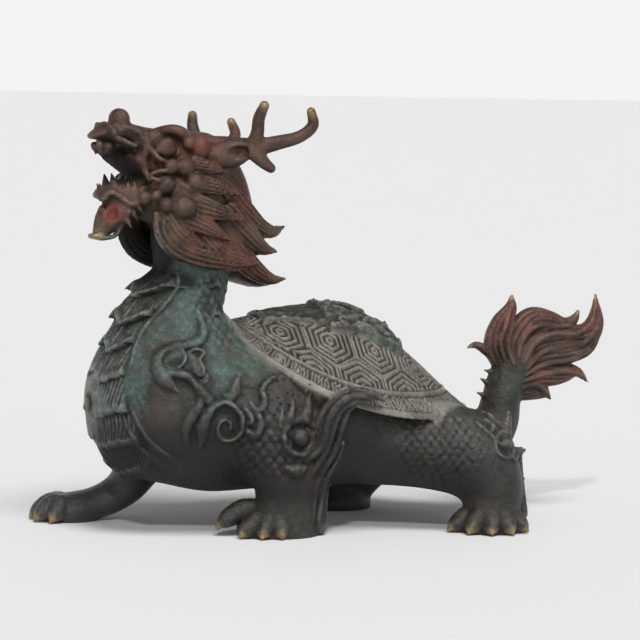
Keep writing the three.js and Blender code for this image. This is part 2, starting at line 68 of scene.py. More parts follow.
# Round forms follow a path: x, y, z, half depth in the XZ plane, half width along Y
NECK = [
    (-47, 0, 47, 24, 24), (-51, 0, 58, 21.8, 21.5), (-52, 0, 66.5, 17.6, 18), (-49.5, 0, 74, 14.4, 15),
    (-46, 0, 82, 12.6, 13.5), (-44.5, 0, 92, 12.3, 13), (-44, 0, 102, 11, 12),
]
TAIL = [
    (58, 0, 24, 9, 11), (64.5, 0, 33, 7.4, 9), (66.5, 0, 41, 6.6, 7.4), (68.5, 0, 48, 6.6, 6.4),
    (72, 0, 54.5, 6, 6),
    (76, 0, 60, 3.5, 4),
]
LEGS = [
    [(-24, -18, 46, 14, 12), (-22.5, -23.5, 35, 14.5, 11.5), (-20, -25, 24, 12, 10.5),
     (-19, -24.5, 15, 10.6, 9.3),
     (-19.5, -24, 8, 10.8, 9), (-20, -24, 0, 12, 9.5)],
    [(14, -16, 31, 15, 14), (30, -23, 30, 15, 13.5), (43, -28.5, 26, 14, 12), (49, -32, 17, 11, 10),
     (49.5, -33, 9, 9.8, 9), (49, -33, 0, 11, 9.5)],
    [(-46, 14, 41, 16, 14), (-53, 16.5, 29, 11.5, 11.8), (-57.2, 18, 19.4, 7.8, 9.4),
     (-61.5, 19.6, 12.4, 6.2, 8),
     (-69, 21, 7.8, 5.4, 7.4), (-80, 22, 5.6, 4.4, 7.6)],
    [(30, 14, 32, 15, 14), (28, 22, 25, 14, 12.5), (23, 26, 15, 11, 10), (19.5, 27, 8, 9.8, 9),
     (18.5, 27, 0, 10.5, 9.5)],
]
# Paws: pad centre and radii, then each toe's heading in degrees from -X towards -Y, its reach and its lift
PAWS = [
    ((-23, -23, 3.5), (12.5, 10, 6.5), [(-4, 16.5, 3), (26, 12.5, 0), (54, 10.5, 0), (84, 9.5, 0)]),
    ((49.5, -32.5, 3.5), (10.5, 10, 6.5), [(4, 13, 0), (36, 11.5, 0), (68, 10.5, 0), (100, 10.5, 0),
    (134, 10.5, 0)]),
    ((-79, 22, 4.5), (9, 8.5, 5.5), [(-42, 9.5, 0), (-14, 11, 0), (14, 11, 0), (42, 9.5, 0)]),
    ((17, 27, 3.5), (11, 10, 6.5), [(6, 13, 0), (-26, 11.5, 0), (-56, 10.5, 0), (-86, 10.5, 0)]),
]

TOE_RISE = 6.2

# Shell carving
HEX_PITCH, HEX_FIRST_X, HEX_SQUEEZE, HEX_LINE = 15.6, -19.0, 0.78, 1.6
HEX_ROWS = (0.54, 0.96)
BORDER_IN, BORDER_OUT, BORDER_PITCH = 0.85, 0.955, 8.3
LINE_DEPTH = 0.75
# Ahead of this angle the flank rises to the rim; behind it the rim hangs free
FREE_FROM, FLANK_SLOPE = 76, 2.2
PLAQUE_STEP = -2.5

# Scutes down the throat and chest: lower edges at the front line, and how wide the band is at a height
SCUTE_EDGES = [88, 80, 71, 62.3, 52.2, 41, 30.5, 20.5]
SCUTE_BAND = [(90, 10.5), (81, 13.4), (70, 14.5), (62, 15), (57, 17), (48, 20), (38, 23), (30, 22), (19, 14)]
# The plates' middle line turns towards the animal's left, as the throat does: z, y
SCUTE_KEEL = [(19, -4), (38, -7), (57, -7.5), (70, -7), (81, -5.5), (90, -4)]
SCUTE_LIFT, SCUTE_POINT, SCUTE_HATCH = 2.3, 3.2, 1.3
# The plates push the breast no further forward than this x
BREAST_LIMIT = -80.8

# Fish scales in side view: lowest and highest x and z, pitch, lift
SCALES = [
    ((-42, 20), (-8, 46), 3.2, 0.9),
    ((14, 16), (46, 44), 2.9, 0.7),
    ((-50, 60), (-30, 88), 3.0, 0.6),
]

# Raised ribbons on the flanks, drawn in side view: x, z, half width, height above the skin
FLANK_RIBBONS = [
    [(-47.5, 74.6, 0.5, 0.5), (-47.1, 71.9, 1.1, 1.2), (-46.9, 68.3, 1.5, 1.8), (-48.8, 65.2, 1.7, 2.1),
     (-52.5, 63.9, 1.7, 2.1), (-57.6, 63.1, 1.6, 2.1), (-60.8, 61.7, 1.6, 2.1), (-62.9, 59.2, 1.8, 2.2),
     (-63, 56.5, 2.2, 2.4), (-61.8, 54, 2.7, 2.6), (-60.2, 51.8, 1.9, 2), (-57.2, 49.2, 0.4, 0.5)],
    [(-62, 55.6, 1.6, 2), (-58.5, 55.3, 1.7, 2.1), (-55, 54.6, 1.6, 2.1), (-52.4, 52.1, 1.6, 2),
     (-50.3, 49.4, 1.9, 2.1),
     (-48.4, 47.2, 2, 2)],
    [(-51, 49.3, 0.6, 0.6), (-51.3, 45.5, 1.6, 1.6), (-53.2, 42.7, 2, 1.8), (-55, 39.1, 1.9, 1.7),
     (-54.9, 35.5, 1.5, 1.4),
     (-53.2, 31.4, 0.4, 0.4)],
    [(-49.9, 31, 0.5, 0.5), (-50, 35.4, 2, 1.5), (-49.9, 39.6, 2.3, 1.9), (-48, 44, 1.7, 2.1),
     (-44.1, 46.4, 1.2, 2.1),
     (-40.9, 45.4, 1.2, 2.1), (-38.3, 42.5, 1.1, 2.1), (-37.6, 39, 1.1, 2), (-38.6, 35.7, 1, 1.9),
     (-41, 34, 0.9, 1.8),
     (-43.8, 34.2, 0.9, 1.7), (-45.4, 36.8, 0.8, 1.6), (-45.2, 39.4, 0.8, 1.6), (-43.4, 40.7, 0.7, 1.5),
     (-41.5, 39.7, 0.7, 1.4), (-41.3, 38, 0.7, 1.3)],
]
SMALL_CURLS = [
    [(-60.4, 58.6, 0.8, 0.7), (-58.2, 59.6, 1.9, 1.1), (-56, 60.4, 1.9, 1.1), (-54.6, 61.4, 0.8, 0.7)],
    [(-60.8, 59.3, 0.5, 0.9), (-58.6, 61.7, 0.6, 1.4), (-55.4, 62.3, 0.7, 1.5), (-54.6, 60, 0.7, 1.5),
     (-56.4, 57.5, 0.7, 1.4),
     (-58.6, 56.8, 0.6, 1.3), (-60.6, 57.5, 0.5, 0.9)],
    [(-53.2, 61, 0.8, 0.6), (-51.8, 59, 1.8, 1), (-51.2, 56.6, 1.7, 1), (-50.8, 54.8, 0.8, 0.6)],
    [(-53.4, 61.7, 0.5, 0.9), (-50.5, 62.6, 0.6, 1.4), (-48.5, 61.5, 0.7, 1.4), (-50, 59.3, 0.7, 1.5),
     (-49.3, 56.3, 0.7, 1.4),
     (-50.5, 54.5, 0.6, 1.3), (-52.3, 55.8, 0.5, 1)],
    [(-52.4, 53.6, 0.4, 0.4), (-50.1, 52.6, 1, 1), (-48.5, 53.9, 1.1, 1.1), (-48.6, 56.6, 0.4, 0.4)],
    [(-37.2, 55, 0.4, 0.4), (-39, 52.2, 1.5, 1.4), (-39.8, 49.8, 2.2, 1.9), (-41.4, 48, 1.7, 1.8),
     (-43, 48.5, 1.2, 1.5)],
    [(-25.2, 54.2, 0.4, 0.5), (-26.6, 53.2, 0.9, 1.1), (-28.8, 52.3, 1.2, 1.4), (-30.7, 49.9, 1.3, 1.6),
     (-30.2, 46.8, 1.4, 1.6), (-31.2, 44.4, 1.3, 1.5), (-32.8, 43.8, 1, 1.2), (-34.6, 45.8, 0.5, 0.8)],
    [(-35.2, 46.8, 0.5, 0.6), (-33, 43.1, 1, 1.2), (-31.7, 40.2, 1.3, 1.5), (-32.2, 36.9, 1.5, 1.6),
     (-33.7, 35.6, 1.4, 1.5),
     (-36.2, 37.2, 1, 1.2)],
    [(-36.7, 44, 0.6, 0.7), (-35.3, 42.5, 1, 1), (-34.5, 40.5, 1.1, 1.2), (-35.6, 39.2, 0.6, 0.8)],
]
SHOULDER_BOSS = (-18.8, 34.8)
HIP_BOSS = (51.6, 30.6)
SHOULDER_FLAMES = [
    [(-22.9, 39.8, 1.9, 1.6), (-21.6, 43, 1.5, 1.6), (-20.6, 46.8, 0.4, 0.5)],
    [(-16.8, 40.4, 2.6, 1.8), (-15.6, 44, 1.9, 1.8), (-14.6, 48.8, 0.4, 0.5)],
    [(-25.2, 38.6, 1.4, 1.2), (-25, 41, 1.1, 1.1), (-24.4, 43.4, 0.4, 0.4)],
    [(-14.7, 40.3, 0.8, 1.1), (-13, 42, 0.9, 1.2), (-10.2, 42.4, 0.5, 0.8)],
    [(-13.4, 38.6, 0.8, 1.1), (-12, 40.2, 0.9, 1.2), (-10, 40.4, 0.5, 0.8)],
    [(-16.4, 37.8, 0.4, 0.5), (-14.7, 34.8, 0.9, 1.1), (-15.2, 32, 0.9, 1), (-17.8, 31, 0.4, 0.5)],
    [(-23, 25.2, 0.8, 0.8), (-20, 24, 2.4, 2), (-17, 25, 0.8, 0.8)],
]
HIP_FRAME = [
    [(42.4, 38, 0.7, 0.9), (46, 34.4, 0.8, 1), (50, 30.4, 0.8, 1), (54.4, 26, 0.8, 1), (57, 26.6, 0.7, 0.9)],
    [(46.4, 38.6, 0.6, 0.8), (47.8, 36.4, 1.1, 1.3), (46.4, 35, 0.9, 1)],
    [(50.4, 38.4, 0.6, 0.8), (52, 36.6, 1.2, 1.4), (54.8, 36, 0.8, 1)],
]
# On the near side only: the cord beside the throat's plates, and two folds under the breast
BREAST_LINES = [
    [(-52.8, 85.8, 0.5, 0.6), (-54, 81, 0.7, 0.8), (-58, 76.3, 0.7, 0.8), (-64.3, 69.6, 0.7, 0.8),
     (-67.5, 64.6, 0.6, 0.7), (-69.5, 60, 0.5, 0.5), (-70.3, 57.2, 0.3, 0.3)],
    [(-71.4, 44.6, 0.4, 0.4), (-69, 39, 0.8, 0.9), (-66.2, 34.4, 0.9, 1.1), (-61, 29.7, 0.9, 1.1),
     (-55.4, 27, 0.5, 0.6)],
    [(-72.6, 40, 0.4, 0.4), (-70.6, 35, 0.7, 0.7), (-67, 30.6, 0.8, 0.8), (-62, 26.6, 0.7, 0.7),
     (-57, 24.6, 0.4, 0.4)],
]
# Punched pits over the shoulder: lowest and highest x and z, how many, radius
PITS = ((-29, 42), (-15, 54), 16, 0.5)
FAR_SIDE_SHIFT = -6

# Plumes behind the legs and the flame over the hip, on the animal's left: x, y, z, half depth, half width
PLUMES = [
    [(8, -39.5, 46.6, 0.6, 0.6), (3.5, -39.6, 48.6, 1.8, 1.8), (-2, -38.2, 48, 3, 2.4),
     (-6.6, -35.6, 43.6, 4.6, 3),
     (-9.6, -34, 37, 5, 3), (-10.6, -32.4, 29, 4.4, 3), (-10.4, -30, 20, 3.6, 3), (-9.6, -28, 11, 3, 3),
     (-9, -27, 4, 2.6, 3)],
    [(62.4, -27, 28, 0.5, 0.6), (60, -28.5, 26, 1.9, 2.2), (58.2, -31, 21, 2.8, 3.4),
     (58.6, -32.5, 14, 2.6, 4),
     (60, -33, 7, 2, 4)],
    [(60.6, -20, 40, 0.4, 0.6), (59.4, -21.4, 36.5, 1.7, 1.7), (57.6, -23, 31, 2.5, 2.6),
     (55, -25.4, 25.6, 2.4, 2.8),
     (52, -28, 21, 1.2, 1.6)],
]
PLUME_SPIKES = [
    ((-8, -32, 31), (-2.8, -33.4, 32), 1.8),
    ((-9.5, -28, 19), (-5.6, -30, 18.2), 1.6),
    ((-9, -30, 25), (-6, -32, 24.4), 1.2),
    ((58, -31, 27), (63, -29, 27.6), 2.2),
    ((58, -31, 19), (62.6, -30, 18), 1.8),
]
# Ribs along the plume: x, z and half width, on its outer face
PLUME_RIBS = [
    [(3.9, 46.8, 0.8), (-0.8, 48.6, 1.2), (-5.4, 47.6, 1.4), (-8.6, 44.5, 1.4), (-10.2, 40, 1.4),
     (-10.8, 35.5, 1.3),
     (-12, 31, 1.2), (-15.4, 28, 1.1), (-20, 27.6, 0.9), (-24.6, 29.6, 0.5)],
    [(1, 46.2, 0.7), (-3, 46.4, 1.2), (-6.4, 44, 1.2), (-7.9, 40, 1.3), (-8.6, 35.4, 1.2),
     (-9.8, 30.6, 1.2), (-12, 26, 1.1),
     (-14.3, 21.9, 1), (-14.9, 17.8, 0.9), (-14.4, 12.2, 0.9), (-14, 6, 0.8)],
    [(-3.6, 43.4, 0.7), (-5.3, 38, 1), (-6.2, 32.8, 1), (-7.4, 28.4, 1), (-9.6, 24.4, 0.9), (-11, 21, 0.9),
     (-12, 17.6, 0.9),
     (-12.3, 12.7, 0.9), (-12.4, 7.9, 0.8), (-12, 4, 0.6)],
    [(-4.4, 33, 0.6), (-5, 28.6, 0.8), (-7.6, 23, 0.8), (-9, 19, 0.8), (-9.8, 13.7, 0.8), (-10.2, 9, 0.7),
     (-10, 5, 0.5)],
]
PLUME_FACE = [
    (4, -29.4), (11, -30.8), (20, -32.6), (29, -35), (37, -36.8), (43.6, -38.4), (46, -40.4), (49, -40.6),
]

# Tail tuft: flame locks that start in the column and sweep up and back
TUFT = [
    [(65.5, 0, 54, 2, 2.6), (61, 0, 57.6, 1.9, 2), (57, 0, 59.8, 1.4, 1.4), (53.6, 0, 59, 0.4, 0.5)],
    [(67, 0, 53, 4, 3.4), (64.6, 0, 60, 5, 3.4), (66, 0, 66.6, 4.2, 3), (69.2, 0, 72.2, 2.4, 2),
     (69.6, 0, 76.8, 0.5, 0.6)],
    [(69, 0, 54, 4, 4), (71.6, 0, 62, 4.8, 4.2), (76.6, 0, 68, 4.6, 3.8), (83, 0, 68.6, 3.2, 3),
     (89, 0, 66.8, 2.4, 2.4),
     (93, 0, 68, 1.8, 1.6), (95, 0, 71.4, 0.5, 0.6)],
    [(71, 0, 54, 5, 4), (78, 0, 60.6, 5, 4.2), (88, 0, 62.4, 4.4, 3.8), (96.6, 0, 62.6, 4.2, 3.2),
     (101.4, 0, 66.6, 3.2, 2.4),
     (101.2, 0, 76.6, 0.5, 0.6)],
    [(72, 0, 52, 5, 4), (81, 0, 55.6, 4.6, 4.4), (90, 0, 56.4, 4, 3.8), (97.6, 0, 58.6, 3.4, 3),
     (102, 0, 64, 2, 2)],
    [(72, 0, 49.6, 4, 4), (81, 0, 50.6, 3.4, 4), (89.6, 0, 50.8, 2.8, 3), (95, 0, 49.8, 1.8, 2),
     (99, 0, 46.4, 0.4, 0.5)],
    [(72, 0, 47, 4, 4), (78.6, 0, 46.4, 3, 3.4), (82, 0, 44, 2, 2.4), (85, 0, 40.8, 0.5, 0.6)],
    [(70, 0, 48, 4, 4.6), (78, 0, 49, 4.4, 4.6), (86, 0, 48.6, 3.4, 3.4), (92, 0, 48.6, 1.6, 1.8)],
    [(69, 0, 43, 3, 4.4), (74, 0, 43.6, 3.4, 4), (79, 0, 42.4, 1.8, 2.4), (82.4, 0, 41.4, 0.5, 0.6)],
]
# Slender strands laid over both faces of the tuft, drawn in side view: x, z, half width
TUFT_STRANDS = [
    [(66, 55, 0.8), (64.4, 61, 1), (66.4, 67, 1), (69.4, 74, 0.6)],
    [(68.4, 54, 0.8), (67.4, 60, 1), (69, 66, 1), (70, 71, 0.6)],
    [(70, 56, 0.8), (73, 63, 1.1), (78, 66.4, 1.1), (85, 66, 0.9), (91, 66.2, 0.6)],
    [(72, 54, 0.8), (77, 60.6, 1.1), (84, 63.6, 1.1), (92, 63.4, 1), (98.6, 66.6, 0.9), (101, 72.6, 0.6)],
    [(73, 52, 0.8), (80, 57.4, 1.1), (89, 59.4, 1.1), (96, 60.4, 1), (101, 65.4, 0.8)],
    [(73, 50, 0.8), (82, 53.4, 1), (91, 54.6, 1), (98, 58, 0.8)],
    [(73, 48, 0.8), (82, 50, 1), (90, 50.6, 0.9), (97, 48.4, 0.5)],
    [(72, 45.6, 0.8), (78, 46.6, 0.9), (83.6, 42.6, 0.5)],
]
# Small spines: foot, then tip, with the foot's half width
TAIL_SPINES = [
    ((61.6, 0, 42), (57.4, 0, 43.6), 1.5),
    ((62, 0, 46.4), (58.6, 0, 48.4), 1.4),
    ((63.4, 0, 50.4), (60, 0, 51.2), 1.3),
    ((51.4, 0, 36), (50.8, 0, 39.4), 1.6),
    ((56, 0, 34), (55.8, 0, 37.6), 1.6),
    ((60.5, 0, 33), (59.6, 0, 36), 1.6),
]

# The head turns to the animal's left and leans a little. Its own frame starts at the top of the neck.
HEAD_PIVOT, HEAD_TURN, HEAD_LEAN, HEAD_LEAN_Z = (-44, 0, 95), 13, 5, 20
HEAD_BLOBS = [
    ((-4, 0, 21.5), (18, 13.5, 15.2)),
    ((-11, 0, 15), (11, 15, 9)),
    ((0, 0, 2), (15.5, 15, 14.5)),
    ((-27.7, 0, 40.4), (3.3, 4, 3.4)),
]
JAWS = [
    [(-12, 0, 29.5, 7.5, 11.5), (-20, 0, 31.8, 6, 10.2), (-26, 0, 34.6, 4.4, 8.6), (-31, 0, 36.2, 3, 6.6),
     (-34.6, 0.6, 35.8, 2.2, 5), (-37.4, 1.4, 35, 1, 3)],
    [(-14, 0, 22, 6, 9), (-24, 0, 26.4, 4.2, 8), (-31, 1.5, 29.6, 2.4, 6), (-35.4, 2.4, 31.4, 1, 3.4)],
    [(-10, 0, 12, 8, 11), (-20, 0, 14.6, 5.4, 9.6), (-27, 0, 16, 3.9, 7.6), (-32, 0, 16.6, 3, 5.4),
     (-35.4, 0, 16.8, 1.6, 3)],
    [(-26, 0, 13.6, 5.6, 7.6), (-30.2, 0, 10.2, 4.8, 6.6), (-33, 0, 7, 3.4, 5), (-35.6, 0, 4, 1.7, 3.2),
     (-38.8, 0, 3, 0.6, 1.6)],
    [(2, 0, 30, 6, 10.5), (9.6, 0, 22, 5.6, 10.5), (12.6, 0, 12, 6, 10.5), (14, 0, 2, 6, 10),
     (15, 0, -7, 4, 8)],
    [(-14, 0, 18.6, 2.6, 4), (-24, 0, 19.6, 1.8, 3.4), (-29.5, 0, 20, 0.8, 2)],
]
# Hollows cut into each half of the head, for mouth, chin, nostril and eye socket: centre, radii
HOLLOWS = [
    ((-30.6, -4.6, 30.4), (5.2, 2.4, 2.6)),
    ((-34.2, -5, 10.2), (2.1, 1.9, 2.8)),
    ((-30.2, -4.4, 38.6), (1.3, 1, 0.9)),
    ((-17.4, -13.2, 30.4), (4.6, 1.8, 4)),
]
TUFT_FANS = [
    [(6, 0, 16, 5, 10), (14, 0, 8, 4.6, 9.4), (23, 0, 3, 2.4, 7.4), (30.4, 0, 5, 0.5, 4.6)],
    [(8, 0, 6, 5, 10), (17, 0, -1.4, 3, 9.6), (25, 0, -3.6, 0.5, 7.6)],
    [(6, 0, -1, 5, 9.6), (14, 0, -8, 4.4, 9), (22, 0, -12.4, 2.6, 7), (30.4, 0, -12.6, 0.5, 4.6)],
]
# Paired parts of the head, given for the left side: centre, radii
FACE_BLOBS = [
    ((-17.4, -11.8, 30.5), (3.7, 2.6, 3.2)),
    ((-4.9, -12, 30.6), (3.9, 2.8, 3.8)),
    ((-9.4, -12.6, 31.8), (2.2, 2.2, 2.2)),
    ((-16.4, -13.4, 24.5), (2.4, 2, 2.4)),
    ((-11.8, -13.8, 24.1), (3, 2.6, 3)),
    ((-8.9, -14.6, 19.2), (2.9, 2.6, 2.9)),
    ((-13.2, -14.8, 11.2), (4, 3.8, 4)),
    ((-18.4, -13, 12.1), (2.8, 2.6, 2.8)),
    ((-21.6, -12, 15.1), (1.8, 1.7, 1.8)),
    ((-24.2, -9.4, 14.4), (2.3, 2, 2.3)),
    ((-31, -4.4, 37.8), (1.7, 1.5, 1.5)),
    ((-33, -1, 31.6), (2.2, 2.6, 1.6)),
    ((0.8, -13.6, 28), (1.7, 1.6, 1.7)),
]
LINE_WIDEN = 1.3
FACE_LINES = [
    [(-35.6, -1, 38, 0.5, 0.9), (-34.1, -3.2, 38.3, 0.7, 1.1), (-33.1, -5.2, 35.8, 0.7, 1.2),
     (-32.3, -6.4, 34.2, 0.7, 1.3),
     (-30.7, -7.6, 32.9, 0.7, 1.3), (-29.1, -8.6, 31.8, 0.7, 1.3), (-27.7, -9.2, 31.2, 0.7, 1.2),
     (-26, -9.4, 31.6, 0.5, 0.8)],
    [(-29.6, -5.4, 37.6, 0.5, 0.6), (-27.4, -6.8, 36.6, 0.9, 1), (-25, -7.8, 35.2, 0.9, 1),
     (-24.4, -8.6, 33, 0.5, 0.6)],
    [(-23.4, -8.4, 35, 0.7, 0.9), (-22.7, -9.8, 31, 1.3, 1.2), (-23.4, -10.2, 27.5, 1.1, 1.1),
     (-22.8, -10.6, 23.5, 0.9, 0.9),
     (-23, -10.8, 20.4, 0.6, 0.7)],
    [(-20.6, -9.4, 35, 0.5, 0.7), (-18.5, -10, 35.8, 1, 1.3), (-14.6, -11, 36.2, 1.4, 1.7),
     (-11.2, -12, 34.9, 1.5, 1.7),
     (-9.2, -12.8, 32.6, 1.2, 1.4)],
    [(-22, -11.3, 30.7, 0.6, 0.7), (-21.3, -12, 27.9, 0.6, 0.8), (-19.4, -12.8, 26.3, 0.6, 0.8),
     (-16.2, -13.2, 27, 0.6, 0.8),
     (-12.9, -12.9, 29, 0.6, 0.8), (-14.3, -12.3, 32.9, 0.6, 0.7), (-18.2, -11.3, 34.5, 0.6, 0.7),
     (-21, -11, 33.2, 0.6, 0.6),
     (-22, -11.3, 30.7, 0.6, 0.7)],
    [(-22.8, -11.6, 22.2, 0.5, 0.6), (-20.6, -12.8, 23, 0.6, 0.7), (-18, -13.4, 22.8, 0.6, 0.7),
     (-15.4, -14.4, 22, 0.6, 0.8),
     (-14.2, -15, 20.4, 0.6, 0.8), (-13.6, -15.4, 18, 0.5, 0.6)],
    [(-23, -12, 20.8, 0.4, 0.5), (-21.2, -12.6, 20.1, 0.6, 0.6), (-19.6, -13, 20.8, 0.4, 0.5)],
    [(-13, -15, 20.4, 0.5, 0.6), (-12.6, -15.8, 18.3, 0.6, 0.8), (-11.1, -16.3, 17, 0.6, 0.8),
     (-8.5, -16.6, 16.5, 0.6, 0.8),
     (-6.2, -16.2, 18, 0.6, 0.8), (-6.1, -15.6, 20.2, 0.6, 0.8), (-8.1, -15.6, 21.6, 0.5, 0.6)],
    [(-17.6, -13.2, 21, 1.6, 1.4), (-18.4, -13.8, 18.6, 1.9, 1.6), (-19.4, -13.8, 15.8, 1.5, 1.4)],
    [(-15.7, -14.4, 19.6, 0.6, 0.7), (-15.2, -15.2, 16.4, 1.4, 1.2), (-16.6, -14.8, 13.4, 0.5, 0.6)],
    [(-35.5, 0, 15.1, 0.8, 1), (-34.7, -2.2, 16.3, 0.8, 1), (-33.3, -4.2, 16.5, 0.8, 1),
     (-31.3, -6, 15.1, 0.8, 1.1),
     (-29.3, -7.2, 13.2, 0.8, 1.1), (-27.8, -7.9, 12.6, 0.8, 1.1), (-26.6, -8.3, 13.2, 0.8, 1.1),
     (-25.7, -8.8, 15, 0.7, 1),
     (-25, -9.4, 16.9, 0.7, 1), (-23.8, -9.9, 17.8, 0.7, 0.9), (-22.3, -10.4, 17.6, 0.6, 0.8)],
    [(-35.4, -1, 12, 0.5, 0.7), (-35.4, -2.6, 8.6, 0.5, 0.7), (-36.8, -1.8, 4.6, 0.5, 0.7)],
    [(-38.6, -0.4, 3, 0.6, 0.8), (-36, -2.2, 2.2, 0.6, 0.8), (-32.6, -3.6, 2.8, 0.5, 0.8),
     (-30.4, -5, 5.6, 0.5, 0.8),
     (-28.8, -6.4, 10.6, 0.5, 0.8)],
]
MANE = [
    [(-8, -12.5, 25, 3, 2), (-2, -13.4, 24, 2.2, 1.8), (4.6, -12.8, 22.4, 0.4, 0.5)],
    [(-8, -13.4, 19, 3.6, 2), (0, -14.6, 17.4, 2.6, 1.8), (8.6, -14, 15, 0.4, 0.5)],
    [(-9, -14.4, 12, 4.4, 2), (-1, -15.8, 9.6, 3, 1.8), (9.2, -15.4, 6.8, 0.4, 0.5)],
    [(-12, -14, 8.4, 4.4, 2), (-4.6, -15.6, 4.6, 3, 1.8), (3.6, -15.6, 0.2, 0.4, 0.5)],
    [(-17, -12, 8, 4, 2.4), (-13.4, -14, 2.4, 3.6, 2), (-6, -15.4, -1.2, 0.4, 0.5)],
    [(-6, -12, 4, 4, 3), (0, -13.4, -2.6, 3.6, 2.6), (7.4, -13, -5.4, 2.6, 2), (14, -12, -5.6, 1, 1)],
    [(-18.4, -10.6, 9, 3.4, 2.4), (-18.2, -11.6, 3.4, 4.2, 2.6), (-14.6, -12.4, -1, 4.4, 2.8),
     (-8.6, -12.8, -3.6, 4, 3),
     (-1, -12.8, -5.4, 3.6, 3), (8, -12.2, -6.8, 2.8, 2.6), (16.6, -11.6, -7, 0.4, 0.6)],
    [(-21.8, -11, 9.8, 0.7, 0.9), (-22.2, -12, 5, 0.8, 1.1), (-20.8, -12.8, 1, 0.8, 1.2),
     (-17.7, -13.4, -2.8, 0.8, 1.2),
     (-13.6, -13.8, -5.2, 0.8, 1.2), (-8.5, -13.9, -7, 0.8, 1.1), (0, -13.6, -8.4, 0.6, 0.8)],
    [(-16, -13, 8, 0.6, 0.8), (-15.6, -14, 3, 0.7, 0.9), (-12, -14.8, -1, 0.7, 0.9),
     (-5, -15.2, -3.4, 0.7, 0.9),
     (4, -14.4, -5, 0.6, 0.8), (13, -12.6, -6, 0.4, 0.5)],
    [(4, -9, 18, 5, 3.6), (12, -9, 10, 4.4, 3.2), (19, -7.6, 5, 3.2, 2.6), (25, -6, 3.2, 2.2, 2),
     (30.4, -5, 5, 0.4, 0.6)],
    [(5, -10.6, 10, 5, 3.4), (12, -10.6, 3, 4.2, 3), (18.6, -9.4, -2, 2.6, 2.2), (25, -8.6, -3.4, 0.4, 0.6)],
    [(4, -9.6, 2, 5, 3.6), (11, -9, -5, 4.4, 3.2), (18, -7.4, -10, 3.4, 2.6), (24, -6, -12.4, 2, 2),
     (30.4, -5, -12.4, 0.4, 0.6)],
]
EAR_HOLLOW = ((6, -17.4, 28.8), (4.4, 2, 2.1))
EAR = [
    (-1, -12.2, 28.4, 2.6, 1.8), (3.6, -14, 28.2, 4.4, 2.2), (7.6, -16, 28.6, 3.8, 1.9),
    (12.4, -18.6, 30.2, 0.6, 0.7),
]
ANTLER = [
    [(-2, -7, 32, 2.6, 2.4), (4, -10.4, 31.8, 2.6, 2.4), (9, -14.6, 30.6, 3.1, 2.4),
     (12.6, -18, 30, 3.2, 2.2)],
    [(11.4, -17, 29.6, 3.4, 2.2), (12.2, -19.4, 34.6, 2.3, 2), (11.9, -21.2, 39.4, 2, 1.9),
     (13, -23, 43.4, 1.6, 1.6)],
    [(12, -17.4, 30, 3, 2.2), (19, -20.6, 31.6, 2.4, 2), (26, -23, 33.4, 2, 1.8), (30.4, -24.4, 37, 1.9, 1.8),
     (29.4, -25.2, 41.4, 1.5, 1.5)],
    [(11.4, -17.6, 29.4, 3.2, 2.2), (14, -19.4, 25.6, 2.2, 1.8), (16.6, -20, 23.4, 1.6, 1.6)],
]
# Teeth: foot, then tip, with the foot's half width
TEETH = [
    ((-36, 2, 32), (-35.4, 2, 29), 1.2),
    ((-33.6, 1, 31), (-33.2, 1, 27.8), 1.1),
    ((-31.6, -2.6, 18.6), (-32.4, -2.4, 22.8), 1.7),
    ((-34.8, -0.8, 17.6), (-36.2, -0.8, 19.8), 1),
    ((-28.2, -5.6, 17.4), (-28.2, -5.4, 20.4), 0.8),
    ((-26.4, -6.6, 17.4), (-26.4, -6.4, 20), 0.8),
    ((-25.9, -7.6, 12), (-24.4, -8.4, 9.6), 1),
    ((-27.3, -6.8, 10), (-26.2, -7.6, 7.6), 1),
    ((-29, -6, 7.6), (-28, -6.8, 5.2), 1),
]

# Colours of the patina, and the black of the painted shade, as linear red, green and blue
PAINTED_SHADE, DARK = (0.006, 0.005, 0.004), (0.013, 0.012, 0.010)
DULL, PALE = (0.038, 0.036, 0.029), (0.085, 0.08, 0.066)
GREEN, PALE_GREEN = (0.045, 0.085, 0.07), (0.12, 0.19, 0.16)
DARK_RED, BROWN, LACQUER = (0.032, 0.015, 0.010), (0.105, 0.055, 0.038), (0.17, 0.034, 0.022)
SHELL_DULL, SHELL_PALE = (0.15, 0.145, 0.118), (0.30, 0.285, 0.24)
OCHRE, EARTH, UMBER = (0.22, 0.135, 0.05), (0.13, 0.095, 0.055), (0.062, 0.043, 0.03)
RUBBED_GREY, RUBBED_BROWN = (0.27, 0.26, 0.23), (0.26, 0.18, 0.14)
POLISHED, BRASS = (0.05, 0.05, 0.048), (0.42, 0.32, 0.17)

# Spots that touch has rubbed back to bright metal: centre, radius. The head's are in its own frame.
HEAD_RUBBED = [
    ((13.4, -23.4, 44.2), 2.5),
    ((29, -25.6, 42), 2.5),
    ((-38, -1, 3), 2.5),
]
RUBBED = [(53.6, 0, 59, 2), (69.6, 0, 76.8, 2), (95, 0, 71.4, 2), (101.2, 0, 76.6, 2.5)]


def soft_min(a, b, blend):
    """Union of two distances with a fillet about as wide as blend."""
    if blend <= 0:
        return np.minimum(a, b)
    near = np.maximum(blend - np.abs(a - b), 0) / blend
    return np.minimum(a, b) - near * near * blend * 0.25


